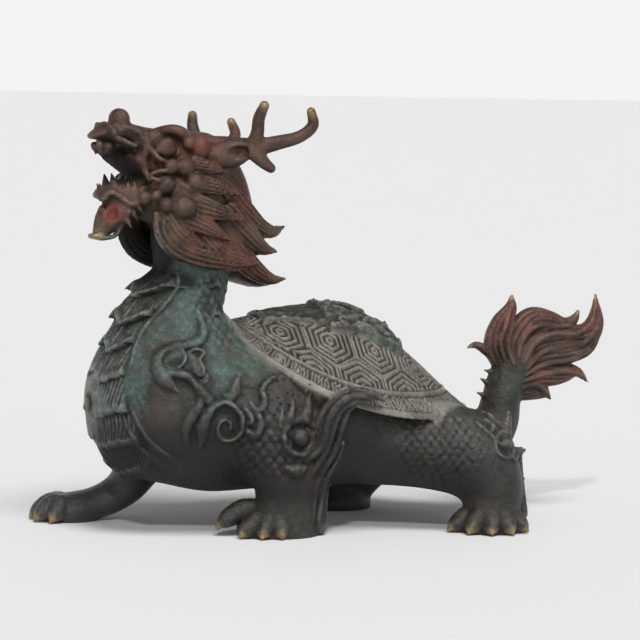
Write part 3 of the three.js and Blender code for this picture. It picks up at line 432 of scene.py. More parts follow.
class Field:
    """Signed distance on a regular grid, negative inside."""

    def __init__(self, low, high, step):
        self.low, self.step = np.array(low, float), step
        self.shape = tuple(int(n) for n in np.ceil((np.array(high) - self.low) / step) + 1)
        self.values = np.full(self.shape, FAR, np.float32)

    def window(self, low, high):
        """The grid nodes inside a box: their slices and their x, y and z as open arrays."""
        first = np.clip(np.floor((np.array(low) - self.low) / self.step).astype(int), 0, self.shape)
        last = np.clip(np.ceil((np.array(high) - self.low) / self.step).astype(int) + 1, 0, self.shape)
        cut = tuple(slice(a, b) for a, b in zip(first, last))
        x, y, z = (
            (self.low[i] + self.step * np.arange(first[i], last[i])).astype(np.float32) for i in range(3)
        )
        return cut, x[:, None, None], y[None, :, None], z[None, None, :]

    def copy(self):
        other = Field(self.low, self.low, self.step)
        other.shape, other.values = self.shape, self.values.copy()
        return other

    def join(self, cut, distance, blend):
        self.values[cut] = soft_min(self.values[cut], distance, blend)

    def carve(self, cut, distance, blend):
        self.values[cut] = -soft_min(-self.values[cut], distance, blend)

    def at(self, points):
        """Distance at points, by linear interpolation."""
        place = (np.asarray(points, float) - self.low) / self.step
        base = np.clip(np.floor(place).astype(int), 0, np.array(self.shape) - 2)
        part = np.clip(place - base, 0, 1)
        total = 0.0
        for dx in (0, 1):
            for dy in (0, 1):
                for dz in (0, 1):
                    weight = np.prod(np.where((dx, dy, dz), part, 1 - part), axis=-1)
                    corner = self.values[base[..., 0] + dx, base[..., 1] + dy, base[..., 2] + dz]
                    total = total + weight * corner
        return total


class Place:
    """A turned and shifted frame for a group of forms."""

    def __init__(self, turn=None, origin=(0, 0, 0), shift=(0, 0, 0)):
        self.turn = np.eye(3) if turn is None else turn
        self.origin, self.shift = np.array(origin, float), np.array(shift, float)

    def point(self, p):
        return (np.asarray(p, float) - self.shift) @ self.turn.T + self.origin + self.shift

    def vector(self, v):
        return np.asarray(v, float) @ self.turn.T

    def inverse(self, p):
        return (np.asarray(p, float) - self.origin - self.shift) @ self.turn + self.shift


HOME = Place()


def catmull(stations, per_span):
    """Points of a smooth curve through the stations, with their other columns."""
    p = np.asarray(stations, float)
    p = np.vstack([2 * p[0] - p[1], p, 2 * p[-1] - p[-2]])
    rows = []
    for i in range(1, len(p) - 2):
        a, b, c, d = p[i - 1 : i + 3]
        for t in np.arange(per_span) / per_span:
            square, cube = (2 * a - 5 * b + 4 * c - d) * t**2, (3 * b - a - 3 * c + d) * t**3
            rows.append(0.5 * (2 * b + (c - a) * t + square + cube))
    rows.append(p[-2])
    return np.array(rows)


def groove(share, count):
    """Narrow V grooves across a share that runs from -1 to 1: 1 at the bottom of a groove, 0 on the lands."""
    return (1 - np.abs(np.sin(np.pi * count * (share + 1) / 2))) ** 2


def loft(field, stations, blend=0.6, per_span=4, place=HOME, lengthwise=None, rings=None):
    """A body of elliptical sections. lengthwise and rings give its grooves: how many, how deep."""
    path = catmull(stations, per_span)
    centre = path[:, :3]
    radii = np.maximum(path[:, 3:5], 0.28)
    tangent = np.gradient(centre, axis=0)
    tangent /= np.linalg.norm(tangent, axis=1, keepdims=True)
    across = np.array([0, 1.0, 0]) - tangent[:, 1:2] * tangent
    across /= np.linalg.norm(across, axis=1, keepdims=True)
    deep = np.cross(across, tangent)
    centre = place.point(centre)
    tangent, across, deep = place.vector(tangent), place.vector(across), place.vector(deep)
    reach = radii.max(axis=1, keepdims=True) + blend + 1.2
    cut, *_ = field.window((centre - reach).min(0), (centre + reach).max(0))
    start = np.array([s.start for s in cut])
    distance = np.full([s.stop - s.start for s in cut], FAR, np.float32)
    for i in range(len(centre) - 1):
        pair = centre[i : i + 2]
        low, high = (pair - reach[i : i + 2]).min(0), (pair + reach[i : i + 2]).max(0)
        part, x, y, z = field.window(low, high)
        if any(s.stop <= s.start for s in part):
            continue
        along = pair[1] - pair[0]
        length2 = float(along @ along) or 1e-9
        dx, dy, dz = x - np.float32(pair[0][0]), y - np.float32(pair[0][1]), z - np.float32(pair[0][2])
        t = np.clip((dx * along[0] + dy * along[1] + dz * along[2]) / length2, 0, 1).astype(np.float32)
        dx, dy, dz = dx - t * along[0], dy - t * along[1], dz - t * along[2]
        a = radii[i, 0] + t * (radii[i + 1, 0] - radii[i, 0])
        b = radii[i, 1] + t * (radii[i + 1, 1] - radii[i, 1])
        end = np.minimum(a, b)
        axes = ((way[i] + way[i + 1]) / 2 for way in (deep, across, tangent))
        u, v, w = (dx * axis[0] + dy * axis[1] + dz * axis[2] for axis in axes)
        u, v, w = u / a, v / b, w / end
        shape = np.sqrt(u * u + v * v + w * w)
        slope = np.sqrt((u / a) ** 2 + (v / b) ** 2 + (w / end) ** 2) + 1e-6
        near = shape * (shape - 1) / slope
        if lengthwise:
            near = near + lengthwise[1] * groove(np.clip(u, -1, 1), lengthwise[0])
        if rings:
            run = (i + t) / (len(centre) - 1) * 2 - 1
            near = near + rings[1] * groove(run, rings[0])
        inner = tuple(slice(s.start - o, s.stop - o) for s, o in zip(part, start))
        distance[inner] = np.minimum(distance[inner], near)
    field.join(cut, distance, blend)


def ellipsoid(field, centre, radii, spare, place):
    """The window round an ellipsoid, and the distance to it there."""
    centre = place.point(centre)
    reach = max(radii) + spare
    cut, x, y, z = field.window(centre - reach, centre + reach)
    dx, dy, dz = x - np.float32(centre[0]), y - np.float32(centre[1]), z - np.float32(centre[2])
    u, v, w = ((dx * axis[0] + dy * axis[1] + dz * axis[2]) / r for axis, r in zip(place.turn.T, radii))
    shape = np.sqrt(u * u + v * v + w * w)
    slope = np.sqrt((u / radii[0]) ** 2 + (v / radii[1]) ** 2 + (w / radii[2]) ** 2) + 1e-6
    return cut, shape * (shape - 1) / slope


def blob(field, centre, radii, blend=0.6, place=HOME):
    field.join(*ellipsoid(field, centre, radii, blend + 1.0, place), blend)


def hollow(field, centre, radii, place=HOME):
    """Cuts an ellipsoid out of the form."""
    field.carve(*ellipsoid(field, centre, radii, 1.5, place), 0.4)


def trunk(field):
    path = catmull(TRUNK, 8)
    cut, x, y, z = field.window((-86, -42, 5), (68, 42, 78))
    centre, high, wide = (np.interp(x, path[:, 0], path[:, k]).astype(np.float32) for k in (1, 2, 3))
    u, v = (z - centre) / high, y / wide
    shape = np.sqrt(u * u + v * v)
    slope = np.sqrt((u / high) ** 2 + (v / wide) ** 2) + 1e-6
    side = shape * (shape - 1) / slope
    ends = np.maximum(TRUNK[0][0] - x, x - TRUNK[-1][0])
    field.join(cut, np.maximum(side, ends), 0)


def rim(angle):
    rise = ((1 + np.cos(angle)) / 2) ** CLIMB_POWER
    return (
        SHELL_CENTRE - SHELL_HALF[0] * np.cos(angle),
        -SHELL_HALF[1] * np.sin(angle),
        RIM_REAR + RIM_CLIMB * rise,
    )


def shell_polar(x, y):
    """A plan point's place on the shell: its rim angle, and its share of the way from crown to rim."""
    dx = x - CROWN[0]
    reach = np.hypot(dx, y) + 1e-6
    ux, uy = dx / reach / SHELL_HALF[0], y / reach / SHELL_HALF[1]
    start = (CROWN[0] - SHELL_CENTRE) / SHELL_HALF[0]
    a, b = ux * ux + uy * uy, start * ux
    edge = (-b + np.sqrt(np.maximum(b * b - a * (start * start - 1), 1e-9))) / a
    return np.arctan2(-uy * edge, -(start + edge * ux)), reach / edge


def dome_height(x, y):
    angle, share = shell_polar(x, y)
    rim_z = rim(angle)[2]
    rise = np.maximum(np.cos(np.clip(share, 0, 1) * np.pi / 2), 0) ** DOME_POWER
    return rim_z + (CROWN[1] - rim_z) * rise, share


def ridge(distance, pitch, width=0.5):
    """Parallel ridges: 1 along lines a pitch apart, 0 in the furrows between them."""
    phase = np.abs((distance / pitch + 0.5) % 1 - 0.5) / (width / 2)
    return np.clip(1.6 - 1.6 * phase, 0, 1)


def hexagon(x, v, border):
    """Distance from the middle of the nearest six-sided field, which is long across the shell."""
    best = np.full(v.shape, 99.0)
    for row, share in enumerate((0.12, *HEX_ROWS, 1.38)):
        first_x = HEX_FIRST_X + (HEX_PITCH / 2 if row % 2 == 0 else 0)
        dx = np.abs((x - first_x + HEX_PITCH / 2) % HEX_PITCH - HEX_PITCH / 2)
        dv = np.abs(v - share * border) * HEX_SQUEEZE
        best = np.minimum(best, np.maximum(dx, dx * 0.5 + dv * math.sqrt(3) / 2))
    return best


def shell_carving(x, y, top, angle, share):
    """How deep the shell's surface lies below its smooth form, over the plan grid."""
    run = np.sqrt(1 + np.gradient(top, y[0], axis=1) ** 2) * (y[0, 1] - y[0, 0])
    middle = int(np.argmin(np.abs(y[0])))
    v = np.cumsum(run, axis=1)
    v = np.abs(v - v[:, middle : middle + 1])
    at_border = [np.interp(BORDER_IN, share[i, middle:], v[i, middle:]) for i in range(len(x))]
    border = np.maximum(np.array(at_border)[:, None], 9)
    field_lines = ridge(hexagon(x, v, border) - 0.9, HEX_LINE, 0.6)
    # a border of square fields, each with nested squares
    turns = np.linspace(-np.pi, np.pi, 721)
    rim_x, rim_y, rim_z = rim(turns)
    steps = np.linalg.norm(np.diff(np.stack([rim_x, rim_y, rim_z]), axis=1), axis=0)
    length = np.concatenate([[0], np.cumsum(steps)])
    squares = round(length[-1] / BORDER_PITCH)
    along = np.interp(angle, turns, length) / length[-1] * squares
    across = (share - (BORDER_IN + BORDER_OUT) / 2) / (BORDER_OUT - BORDER_IN) * 2
    inset = 1 - np.maximum(np.abs(along % 1 - 0.5) * 2, np.abs(across))
    border_lines = ridge(inset * BORDER_PITCH / 2 - 0.9, 1.25, 0.55) * (inset > 0.1)
    inner, outer = (share - BORDER_IN + 0.02) / 0.012, (share - 0.975) / 0.014
    cord = np.maximum(np.exp(-(inner**2)), np.exp(-(outer**2)))
    lines = np.where(share < BORDER_IN - 0.045, field_lines, np.where(share > BORDER_IN, border_lines, 0))
    lines = np.maximum(lines, cord * 1.3)
    return LINE_DEPTH * (1 - lines)


def shell(field):
    cut, x, y, z = field.window((-42, -44, 30), (58, 44, 80))
    x2, y2 = np.meshgrid(x[:, 0, 0].astype(float), y[0, :, 0].astype(float), indexing="ij")
    angle, share = shell_polar(x2, y2)
    rim_z = rim(angle)[2]
    top = rim_z + (CROWN[1] - rim_z) * np.maximum(np.cos(np.clip(share, 0, 1) * np.pi / 2), 0) ** DOME_POWER
    steep = np.sqrt(1 + np.clip(np.hypot(*np.gradient(top, field.step)), 0, 2.5) ** 2)
    outside = (share - 1) * np.hypot(x2 - CROWN[0], y2) / np.maximum(share, 0.05)
    hung = np.minimum(UNDERSIDE + (rim_z - RIM_THICK - UNDERSIDE) * np.clip(share, 0, 1), top - 0.5)
    flush = rim_z - RIM_THICK + np.minimum(outside, 0) * FLANK_SLOPE
    joined = np.clip((FREE_FROM - np.abs(np.degrees(angle))) / 12, 0, 1)
    under = hung * (1 - joined) + np.minimum(hung, flush) * joined
    carving = shell_carving(x2, y2, top, angle, share)
    height = (z - top[:, :, None]) / steep[:, :, None]
    above = height + (carving[:, :, None] * np.clip(2 - np.abs(height), 0, 1)).astype(np.float32)
    body = -soft_min(-above, -outside[:, :, None].astype(np.float32), 1.0)
    field.join(cut, np.maximum(body, under[:, :, None] - z).astype(np.float32), 0.5)
    plaque(field, cut, x, y, height)


def plaque(field, cut, x, y, height):
    """The raised plate on the crown: thin and worn in front, thick and rough behind its step."""
    behind = fade(x[:, :, 0], PLAQUE_STEP - 0.6, PLAQUE_STEP + 0.6)
    half_width = 9.5 + 4 * fade(x[:, :, 0], -20, -6) + 3.2 * behind
    side = np.maximum(np.abs(y[:, :, 0]) - half_width, np.maximum(PLAQUE_X[0] - x, x - PLAQUE_X[1])[:, :, 0])
    random = np.random.default_rng(SEED)
    rough = np.full(side.shape, 0.0)
    for _ in range(170):
        cx, cy = random.uniform(PLAQUE_X[0], PLAQUE_X[1]), random.uniform(-16, 16)
        turn, length, width = random.uniform(-0.5, 0.9), random.uniform(1.0, 3.6), random.uniform(0.45, 0.9)
        dx, dy = x[:, :, 0] - cx, y[:, :, 0] - cy
        u, v = dx * math.cos(turn) + dy * math.sin(turn), dy * math.cos(turn) - dx * math.sin(turn)
        bar = random.uniform(0.4, 1.0) * np.clip(2.4 - 1.6 * np.hypot(u / length, v / width), 0, 1)
        rough = np.maximum(rough, bar)
    raised = 0.5 + 0.5 * rough + behind * (0.9 + 1.2 * rough)
    raised += (0.5 + 0.5 * behind) * np.exp(-(((side + 0.8) / 0.55) ** 2))
    plate = np.maximum(np.maximum(height - raised[:, :, None], side[:, :, None]), -height - 3)
    field.join(cut, plate.astype(np.float32), 0)


def scutes(field):
    """Shingled plates down the throat and chest: each lower edge stands proud and dips at the middle."""
    cut, x, y, z = field.window((-86, -32, 14), (-36, 32, 96))
    edges = np.array(SCUTE_EDGES[::-1], float)
    band_z, band_y = np.array(SCUTE_BAND[::-1], float).T
    keel_z, keel_y = np.array(SCUTE_KEEL, float).T
    keel = np.interp(z, keel_z, keel_y)
    near = np.interp(z, band_z, band_y) + keel
    from_keel = y - keel
    off = np.abs(from_keel) / np.where(from_keel < 0, near, near + 3)
    wave = 0.35 * np.cos(from_keel * 1.5)
    swing = np.clip(off, 0, 1.2) * np.pi * np.where(from_keel < 0, 1, 1.8)
    level = z + SCUTE_POINT * 0.5 * np.cos(swing) + wave
    place = np.interp(level, edges, np.arange(len(edges)))
    part = place - np.floor(place)
    proud = SCUTE_LIFT * (1 - part) ** 1.5 + 0.5 * np.exp(-(((part - 0.12) / 0.07) ** 2))
    around = np.arctan2(from_keel, -(x + 46)) * 24
    lines = ridge(around + 0.3 * np.sin(place * 5), SCUTE_HATCH, 0.7)
    hatch = 0.6 * (1 - lines) * np.clip((part - 0.14) * 8, 0, 1)
    proud = proud + 0.7 * np.exp(-((from_keel / 0.6) ** 2))
    inside = np.clip((1 - off) * near / 0.7, 0, 1) * (level > edges[0]) * (level < edges[-1] - 0.01)
    front = np.clip((-x - 38) / 6, 0, 1) * np.clip((x - BREAST_LIMIT) / 2, 0, 1)
    change = (proud - hatch) * inside * front * (np.abs(field.values[cut]) < 3)
    field.values[cut] -= change.astype(np.float32)


def scales(field, low, high, pitch, lift, side):
    """Overlapping fish scales over a stretch of one flank, fading out towards its edges."""
    inner, outer = (-44, -4) if side < 0 else (4, 44)
    cut, x, y, z = field.window((low[0], inner, low[1]), (high[0], outer, high[1]))
    x2, z2 = x[:, 0, 0][:, None].astype(float), z[0, 0, :][None, :].astype(float)
    random = np.random.default_rng(SEED)
    jitter = random.uniform(-0.12, 0.12, (64, 64, 2))
    best = np.zeros(np.broadcast(x2, z2).shape)
    row_pitch = pitch * 0.72
    row0 = np.floor(z2 / row_pitch)
    for drow in (-1, 0, 1):
        row = row0 + drow
        shift = (row % 2) * 0.5
        column = np.floor(x2 / pitch - shift + 0.5)
        wobble = jitter[(column.astype(int)) % 64, (row.astype(int)) % 64]
        dx = x2 / pitch - shift - column + wobble[..., 0]
        dz = (z2 - row * row_pitch) / pitch + wobble[..., 1]
        dome = np.clip(1 - np.hypot(dx, dz + 0.05) ** 2 / 0.25, 0, 1) ** 0.6
        best = np.maximum(best, dome * (0.75 - 0.35 * dz))
    middle = [(a + b) / 2 for a, b in zip(low, high)]
    half = [(b - a) / 2 for a, b in zip(low, high)]
    fade = np.clip(2.2 * (1 - ((x2 - middle[0]) / half[0]) ** 2 - ((z2 - middle[1]) / half[1]) ** 2), 0, 1)
    near = np.abs(field.values[cut]) < 2.5
    field.values[cut] -= ((lift * (best - 0.35) * fade)[:, None, :] * near).astype(np.float32)


def body(field):
    trunk(field)
    loft(field, NECK, blend=5, per_span=4)
    scutes(field)
    loft(field, TAIL, blend=4, per_span=6)
    for leg in LEGS:
        loft(field, leg, blend=3.5, per_span=6)
    for (low, high, pitch, lift) in SCALES:
        for side in (-1, 1):
            scales(field, low, high, pitch, lift, side)
    shell(field)


def skin_at(plain, x, z, side):
    """Y of the body's outermost skin along each line across it at x and z."""
    y = np.linspace(side * 48, 0, 260)
    x, across, z = np.broadcast_arrays(np.asarray(x, float)[:, None], y, np.asarray(z, float)[:, None])
    depth = plain.at(np.stack([x, across, z], -1))
    first = np.argmax(depth < 0, axis=1)
    first[~(depth < 0).any(axis=1)] = 259
    return y[first]


def ribbon(field, plain, points, side, blend=0.5, **grooves):
    """A raised ribbon over the flank from its side view: x, z, half width, height above the skin."""
    path = catmull(points, 6)
    x = path[:, 0] + (FAR_SIDE_SHIFT if side > 0 else 0)
    y = skin_at(plain, x, path[:, 1], side)
    for _ in range(2):
        y[1:-1] = (y[:-2] + 2 * y[1:-1] + y[2:]) / 4
    height = np.maximum(path[:, 3], 0.3)
    half = np.maximum(path[:, 2], 0.3)
    stations = np.stack([x, y - side * height * 0.2, path[:, 1], half, height * 1.2], 1)
    loft(field, stations, blend, per_span=1, **grooves)


def ring(x, z, radius, wire):
    angles = np.linspace(0, 2 * math.pi, 17)
    return [(x + radius * math.cos(a), z + radius * math.sin(a), wire, wire) for a in angles]


def spike(field, foot, tip, half_width, blend=0.5, place=HOME):
    foot, tip = np.array(foot, float), np.array(tip, float)
    rows = []
    for t in (0, 0.5, 1):
        half = half_width * (1 - 0.85 * t)
        rows.append((*(foot + (tip - foot) * t), half, half))
    loft(field, rows, blend, per_span=2, place=place)


def ornament(field, plain):
    for side in (-1, 1):
        for points in FLANK_RIBBONS:
            ribbon(field, plain, points, side, 0.3)
        ribbon(field, plain, ring(*SHOULDER_BOSS, 5.6, 1.25), side, 0.3)
        x, z = SHOULDER_BOSS[0] + (FAR_SIDE_SHIFT if side > 0 else 0), SHOULDER_BOSS[1]
        blob(field, (x, skin_at(plain, [x], [z], side)[0], z), (3.1, 3.1, 3.1), 0.2)
        for points in (*SMALL_CURLS, *SHOULDER_FLAMES):
            ribbon(field, plain, points, side, 0.3)
        for points in (*HIP_FRAME, ring(*HIP_BOSS, 4.1, 0.8)):
            ribbon(field, plain, points, side, 0.3)
        x, z = HIP_BOSS
        blob(field, (x, skin_at(plain, [x], [z], side)[0], z), (2.4, 2.4, 2.4), 0.3)
        random = np.random.default_rng(SEED)
        for _ in range(PITS[2]):
            x, z = random.uniform(PITS[0], PITS[1])
            hollow(field, (x, skin_at(plain, [x], [z], side)[0], z), (PITS[3], PITS[3], PITS[3]))
    for points in BREAST_LINES:
        ribbon(field, plain, points, -1, 0.3)
    for plume in PLUMES:
        loft(field, plume, 1.0, 6, lengthwise=(6, 0.55))
    for rib in PLUME_RIBS:
        face = np.array(PLUME_FACE, float)
        loft(field, [(x, np.interp(z, face[:, 0], face[:, 1]), z, half, half) for x, z, half in rib], 0.3, 6)
    for foot, tip, half_width in PLUME_SPIKES:
        spike(field, foot, tip, half_width, 0.8)
    for foot, tip, half_width in TAIL_SPINES:
        spike(field, foot, tip, half_width, 1.2)
    for lock in TUFT:
        loft(field, lock, 0.8, 6, lengthwise=(5, 0.7))
    tuft = field.copy()
    for side in (-1, 1):
        for strand in TUFT_STRANDS:
            shift = FAR_SIDE_SHIFT if side > 0 else 0
            ribbon(field, tuft, [(x - shift, z, half, half * 0.9) for x, z, half in strand], side, 0.3)


def paw(field, pad, radii, toes):
    blob(field, pad, radii, 2.5)
    for heading, reach, lift in toes:
        angle = math.radians(heading)

        def at(distance, z):
            return (pad[0] - math.cos(angle) * distance, pad[1] - math.sin(angle) * distance, z)

        toe = [
            (*at(reach * 0.25, TOE_RISE + 1 + lift), 3.0, 3.2),
            (*at(reach * 0.6, TOE_RISE + 1 + lift), 3.5, 3.6),
            (*at(reach * 0.88, TOE_RISE - 0.9 + lift * 0.9), 3.3, 3.5),
            (*at(reach + 0.8, GROUND + 2.5 + lift * 0.7), 2.1, 2.4),
        ]
        loft(field, toe, 0.5, 6, rings=(7, 0.75))
        claw = [
            (*at(reach + 0.4, GROUND + 2.6 + lift * 0.7), 1.2, 1.5),
            (*at(reach + 1.9, GROUND + 1.7 + lift * 0.6), 1.0, 1.2),
            (*at(reach + 2.5, GROUND + 0.9 + lift * 0.5), 0.6, 0.7),
        ]
        loft(field, claw, 0.3, 3)
        RUBBED.append((*at(reach + 2.2, GROUND + 1.6 + lift * 0.6), 1.9))


def head_place():
    turn, lean = math.radians(HEAD_TURN), math.radians(-HEAD_LEAN)
    about_z = np.array([(math.cos(turn), -math.sin(turn), 0), (math.sin(turn), math.cos(turn), 0), (0, 0, 1)])
    about_x = np.array([(1, 0, 0), (0, math.cos(lean), -math.sin(lean)), (0, math.sin(lean), math.cos(lean))])
    return Place(about_z @ about_x, HEAD_PIVOT, (0, 0, HEAD_LEAN_Z))


def on_face(bare, place, stations):
    """Moves each station across the head to the skin, where the skin is within 4 mm of it."""
    rows = []
    for x, y, z, deep, wide in stations:
        across = y + np.linspace(4, -4, 81) * (1 if y > 0 else -1)
        depth = bare.at(place.point(np.stack([np.full(81, x), across, np.full(81, z)], 1)))
        if depth[0] > 0 and (depth < 0).any():
            y = across[np.argmax(depth < 0)]
        rows.append((x, y, z, deep * LINE_WIDEN, wide * LINE_WIDEN))
    return rows


def head(field):
    place = head_place()
    for centre, radii in HEAD_BLOBS:
        blob(field, centre, radii, 2.5, place)
    for stations in JAWS:
        loft(field, stations, 1.6, 4, place)
    for stations in TUFT_FANS:
        loft(field, stations, 0.8, 4, place, lengthwise=(6, 0.8))
    for side in (1, -1):
        def flip(rows):
            return [(row[0], side * row[1], *row[2:]) for row in rows]

        for stations in MANE:
            loft(field, flip(stations), 0.4, 5, place, lengthwise=(5, 0.8))
        for centre, radii in HOLLOWS:
            hollow(field, flip([centre])[0], radii, place)
        bare = field.copy()
        for stations in FACE_LINES:
            loft(field, on_face(bare, place, flip(stations)), 0.6, 4, place)
        for centre, radii in FACE_BLOBS:
            blob(field, flip([centre])[0], radii, 0.6, place)
        for stations in ANTLER:
            loft(field, flip(stations), 1.0, 4, place)
        loft(field, flip(EAR), 0.4, 4, place)
        for foot, tip, half_width in TEETH:
            spike(field, flip([foot])[0], flip([tip])[0], half_width, 0.3, place)
        hollow(field, flip([EAR_HOLLOW[0]])[0], EAR_HOLLOW[1], place)
        for centre, radius in HEAD_RUBBED:
            RUBBED.append((*place.point(flip([centre])[0]), radius))


def surface_net(field):
    """A closed mesh on the zero level: one vertex in each cell that the surface crosses."""
    values, shape = field.values, field.shape
    solid = values < 0
    number = np.full([n - 1 for n in shape], -1, np.int32)
    count = np.zeros(number.shape, np.int8)
    for dx in (0, 1):
        for dy in (0, 1):
            for dz in (0, 1):
                count += solid[dx : shape[0] - 1 + dx, dy : shape[1] - 1 + dy, dz : shape[2] - 1 + dz]
    cells = np.argwhere((count > 0) & (count < 8))
    number[tuple(cells.T)] = np.arange(len(cells))
    total, crossings = np.zeros((len(cells), 3)), np.zeros(len(cells))
    corners = [(a, b, c) for a in (0, 1) for b in (0, 1) for c in (0, 1)]
    for axis in range(3):
        for corner in corners:
            if corner[axis]:
                continue
            first = cells + corner
            second = first.copy()
            second[:, axis] += 1
            f0, f1 = values[tuple(first.T)], values[tuple(second.T)]
            crosses = (f0 < 0) != (f1 < 0)
            share = f0[crosses] / (f0[crosses] - f1[crosses])
            point = np.array(corner, float) + np.zeros((crosses.sum(), 3))
            point[:, axis] = share
            total[crosses] += point
            crossings[crosses] += 1
    vertices = (cells + total / crossings[:, None]) * field.step + field.low
    quads = []
    for axis in range(3):
        ahead = [slice(None)] * 3
        behind = [slice(None)] * 3
        ahead[axis], behind[axis] = slice(1, None), slice(None, -1)
        change = solid[tuple(behind)].astype(np.int8) - solid[tuple(ahead)]
        where = np.argwhere(change != 0)
        others = [k for k in range(3) if k != axis]
        where = where[(where[:, others] > 0).all(axis=1)]
        sign = change[tuple(where.T)]
        ring = []
        for a, b in ((0, 0), (1, 0), (1, 1), (0, 1)):
            cell = where.copy()
            cell[:, others[0]] -= a
            cell[:, others[1]] -= b
            ring.append(number[tuple(cell.T)])
        quad = np.stack(ring, axis=1)
        flip = (sign < 0) if axis != 1 else (sign > 0)
        quad[flip] = quad[flip][:, ::-1]
        quads.append(quad)
    return vertices, np.concatenate(quads)


def build():
    field = Field((-97, -50, -2), (109, 45, 146), STEP)
    body(field)
    plain = field.copy()
    ornament(field, plain)
    for row in PAWS:
        paw(field, *row)
    head(field)
    return field


def down_to_ground(field):
    """The form cut flat at the ground, so that its skin closes under the paws."""
    height = field.low[2] + field.step * np.arange(field.shape[2])
    cut = field.copy()
    cut.values = np.maximum(cut.values, (GROUND - height).astype(np.float32))
    return cut


def one_skin(mesh):
    """Leaves out the bubbles and flakes that stand apart from the casting's skin."""
    form = bmesh.new()
    form.from_mesh(mesh)
    unseen, skins = set(form.verts), []
    while unseen:
        skin = [unseen.pop()]
        for vertex in skin:
            for edge in vertex.link_edges:
                other = edge.other_vert(vertex)
                if other in unseen:
                    unseen.remove(other)
                    skin.append(other)
        skins.append(skin)
    skins.sort(key=len)
    loose = [vertex for skin in skins[:-1] for vertex in skin]
    bmesh.ops.delete(form, geom=loose, context="VERTS")
    form.to_mesh(mesh)
    form.free()


def mesh_of(name, vertices, faces):
    mesh = bpy.data.meshes.new(name)
    mesh.vertices.add(len(vertices))
    mesh.vertices.foreach_set("co", vertices.astype(np.float32).ravel())
    mesh.loops.add(faces.size)
    mesh.loops.foreach_set("vertex_index", faces.astype(np.int32).ravel())
    mesh.polygons.add(len(faces))
    mesh.polygons.foreach_set("loop_start", np.arange(0, faces.size, faces.shape[1], dtype=np.int32))
    mesh.update(calc_edges=True)
    mesh.validate()
    return mesh


def fade(value, low, high):
    share = np.clip((value - low) / (high - low), 0, 1)
    return share * share * (3 - 2 * share)


def hollowness(field, points, radius):
    """How much metal surrounds each point: above 0 in a recess, below 0 on an edge."""
    total = 0
    ways = [(a, b, c) for a in (-1, 0, 1) for b in (-1, 0, 1) for c in (-1, 0, 1) if (a, b, c) != (0, 0, 0)]
    own = field.at(points)
    for way in ways:
        step = np.array(way) / np.linalg.norm(way) * radius
        total = total + (field.at(points + step) - own)
    return -total / len(ways) / radius


def marks(field, points, normals):
    """Where each part of the patina and of the painted shade lies, from 0 to 1, for every vertex."""
    x, y, z = points.T
    fine, middle, broad = (hollowness(field, points, r) for r in (0.7, 1.6, 4.5))
    shape = fine + 0.8 * middle
    in_head = head_place().inverse(points)
    reach = np.hypot(np.maximum(in_head[:, 0], 0), in_head[:, 1])
    behind = fade(in_head[:, 2], -18, -16) * fade(reach, 12.5, 14.5)
    on_head = np.maximum(fade(in_head[:, 2], 1, 7), behind) * (x < 5)
    on_tuft = np.maximum(fade(z, 50, 57) * fade(x, 50, 56), fade(x, 71, 76) * fade(z, 38, 42))
    angle, share = shell_polar(x, y)
    top = dome_height(x, y)[0]
    on_shell = fade(share, 1.04, 1.0) * fade(z - top, -3.5, -1.8) * fade(z - top, 6, 4) * (x > -44)
    on_plaque = on_shell * fade(z - top, 0.1, 0.5) * fade(share, 0.75, 0.6)
    chest = fade(x, -14, -34) * fade(z, 34, 48) * (1 - on_head)
    throat = np.linalg.norm((in_head - [-18, 5, -2]) / [14, 14, 11], axis=1)
    mouth = np.linalg.norm((in_head - [-27.5, 0, 25]) / [9, 8, 6.6], axis=1)
    chin = np.linalg.norm((np.abs(in_head) - [34, 4.6, 10.3]) / [3.4, 3.2, 3.6], axis=1)
    chin = np.where(in_head[:, 0] < 0, chin, 9)
    bright = np.zeros(len(points))
    for *spot, radius in RUBBED:
        apart = np.linalg.norm(points - spot, axis=1)
        bright = np.maximum(bright, fade(apart, radius * 1.3, radius * 0.5))
    return {
        # recess and hollow mark furrows and pockets: they take painted shade, and dust
        "recess": fade(shape, 0.0, 0.42),
        "ridge": fade(shape, -0.05, -0.55),
        "hollow": fade(broad, -0.02, 0.42),
        "reds": np.maximum(on_head, on_tuft),
        "head": on_head,
        "shell": on_shell,
        "plaque": on_plaque,
        "greens": np.clip(chest + 0.5 * on_shell + 0.3 * fade(x, 5, 20) * fade(z, 20, 34), 0, 1),
        # painted shade: surfaces that face downwards and lie low on the body
        "under": np.maximum(fade(normals[:, 2], 0.35, -0.35) * fade(z, 50, 30) * fade(z, 9, 16),
                            0.7 * fade(normals[:, 2], -0.2, -0.8) * fade(z, 20, 34)),
        # painted shadow in the throat and inside the mouth
        "throat_mouth_shadow": np.maximum(fade(throat, 1.05, 0.8), fade(mouth, 1.12, 0.9)),
        "red_spot": fade(chin, 1.2, 0.7),
        "bright": bright,
        "smooth": fade(x, -46, -56) * fade(z, 26, 16),
    }


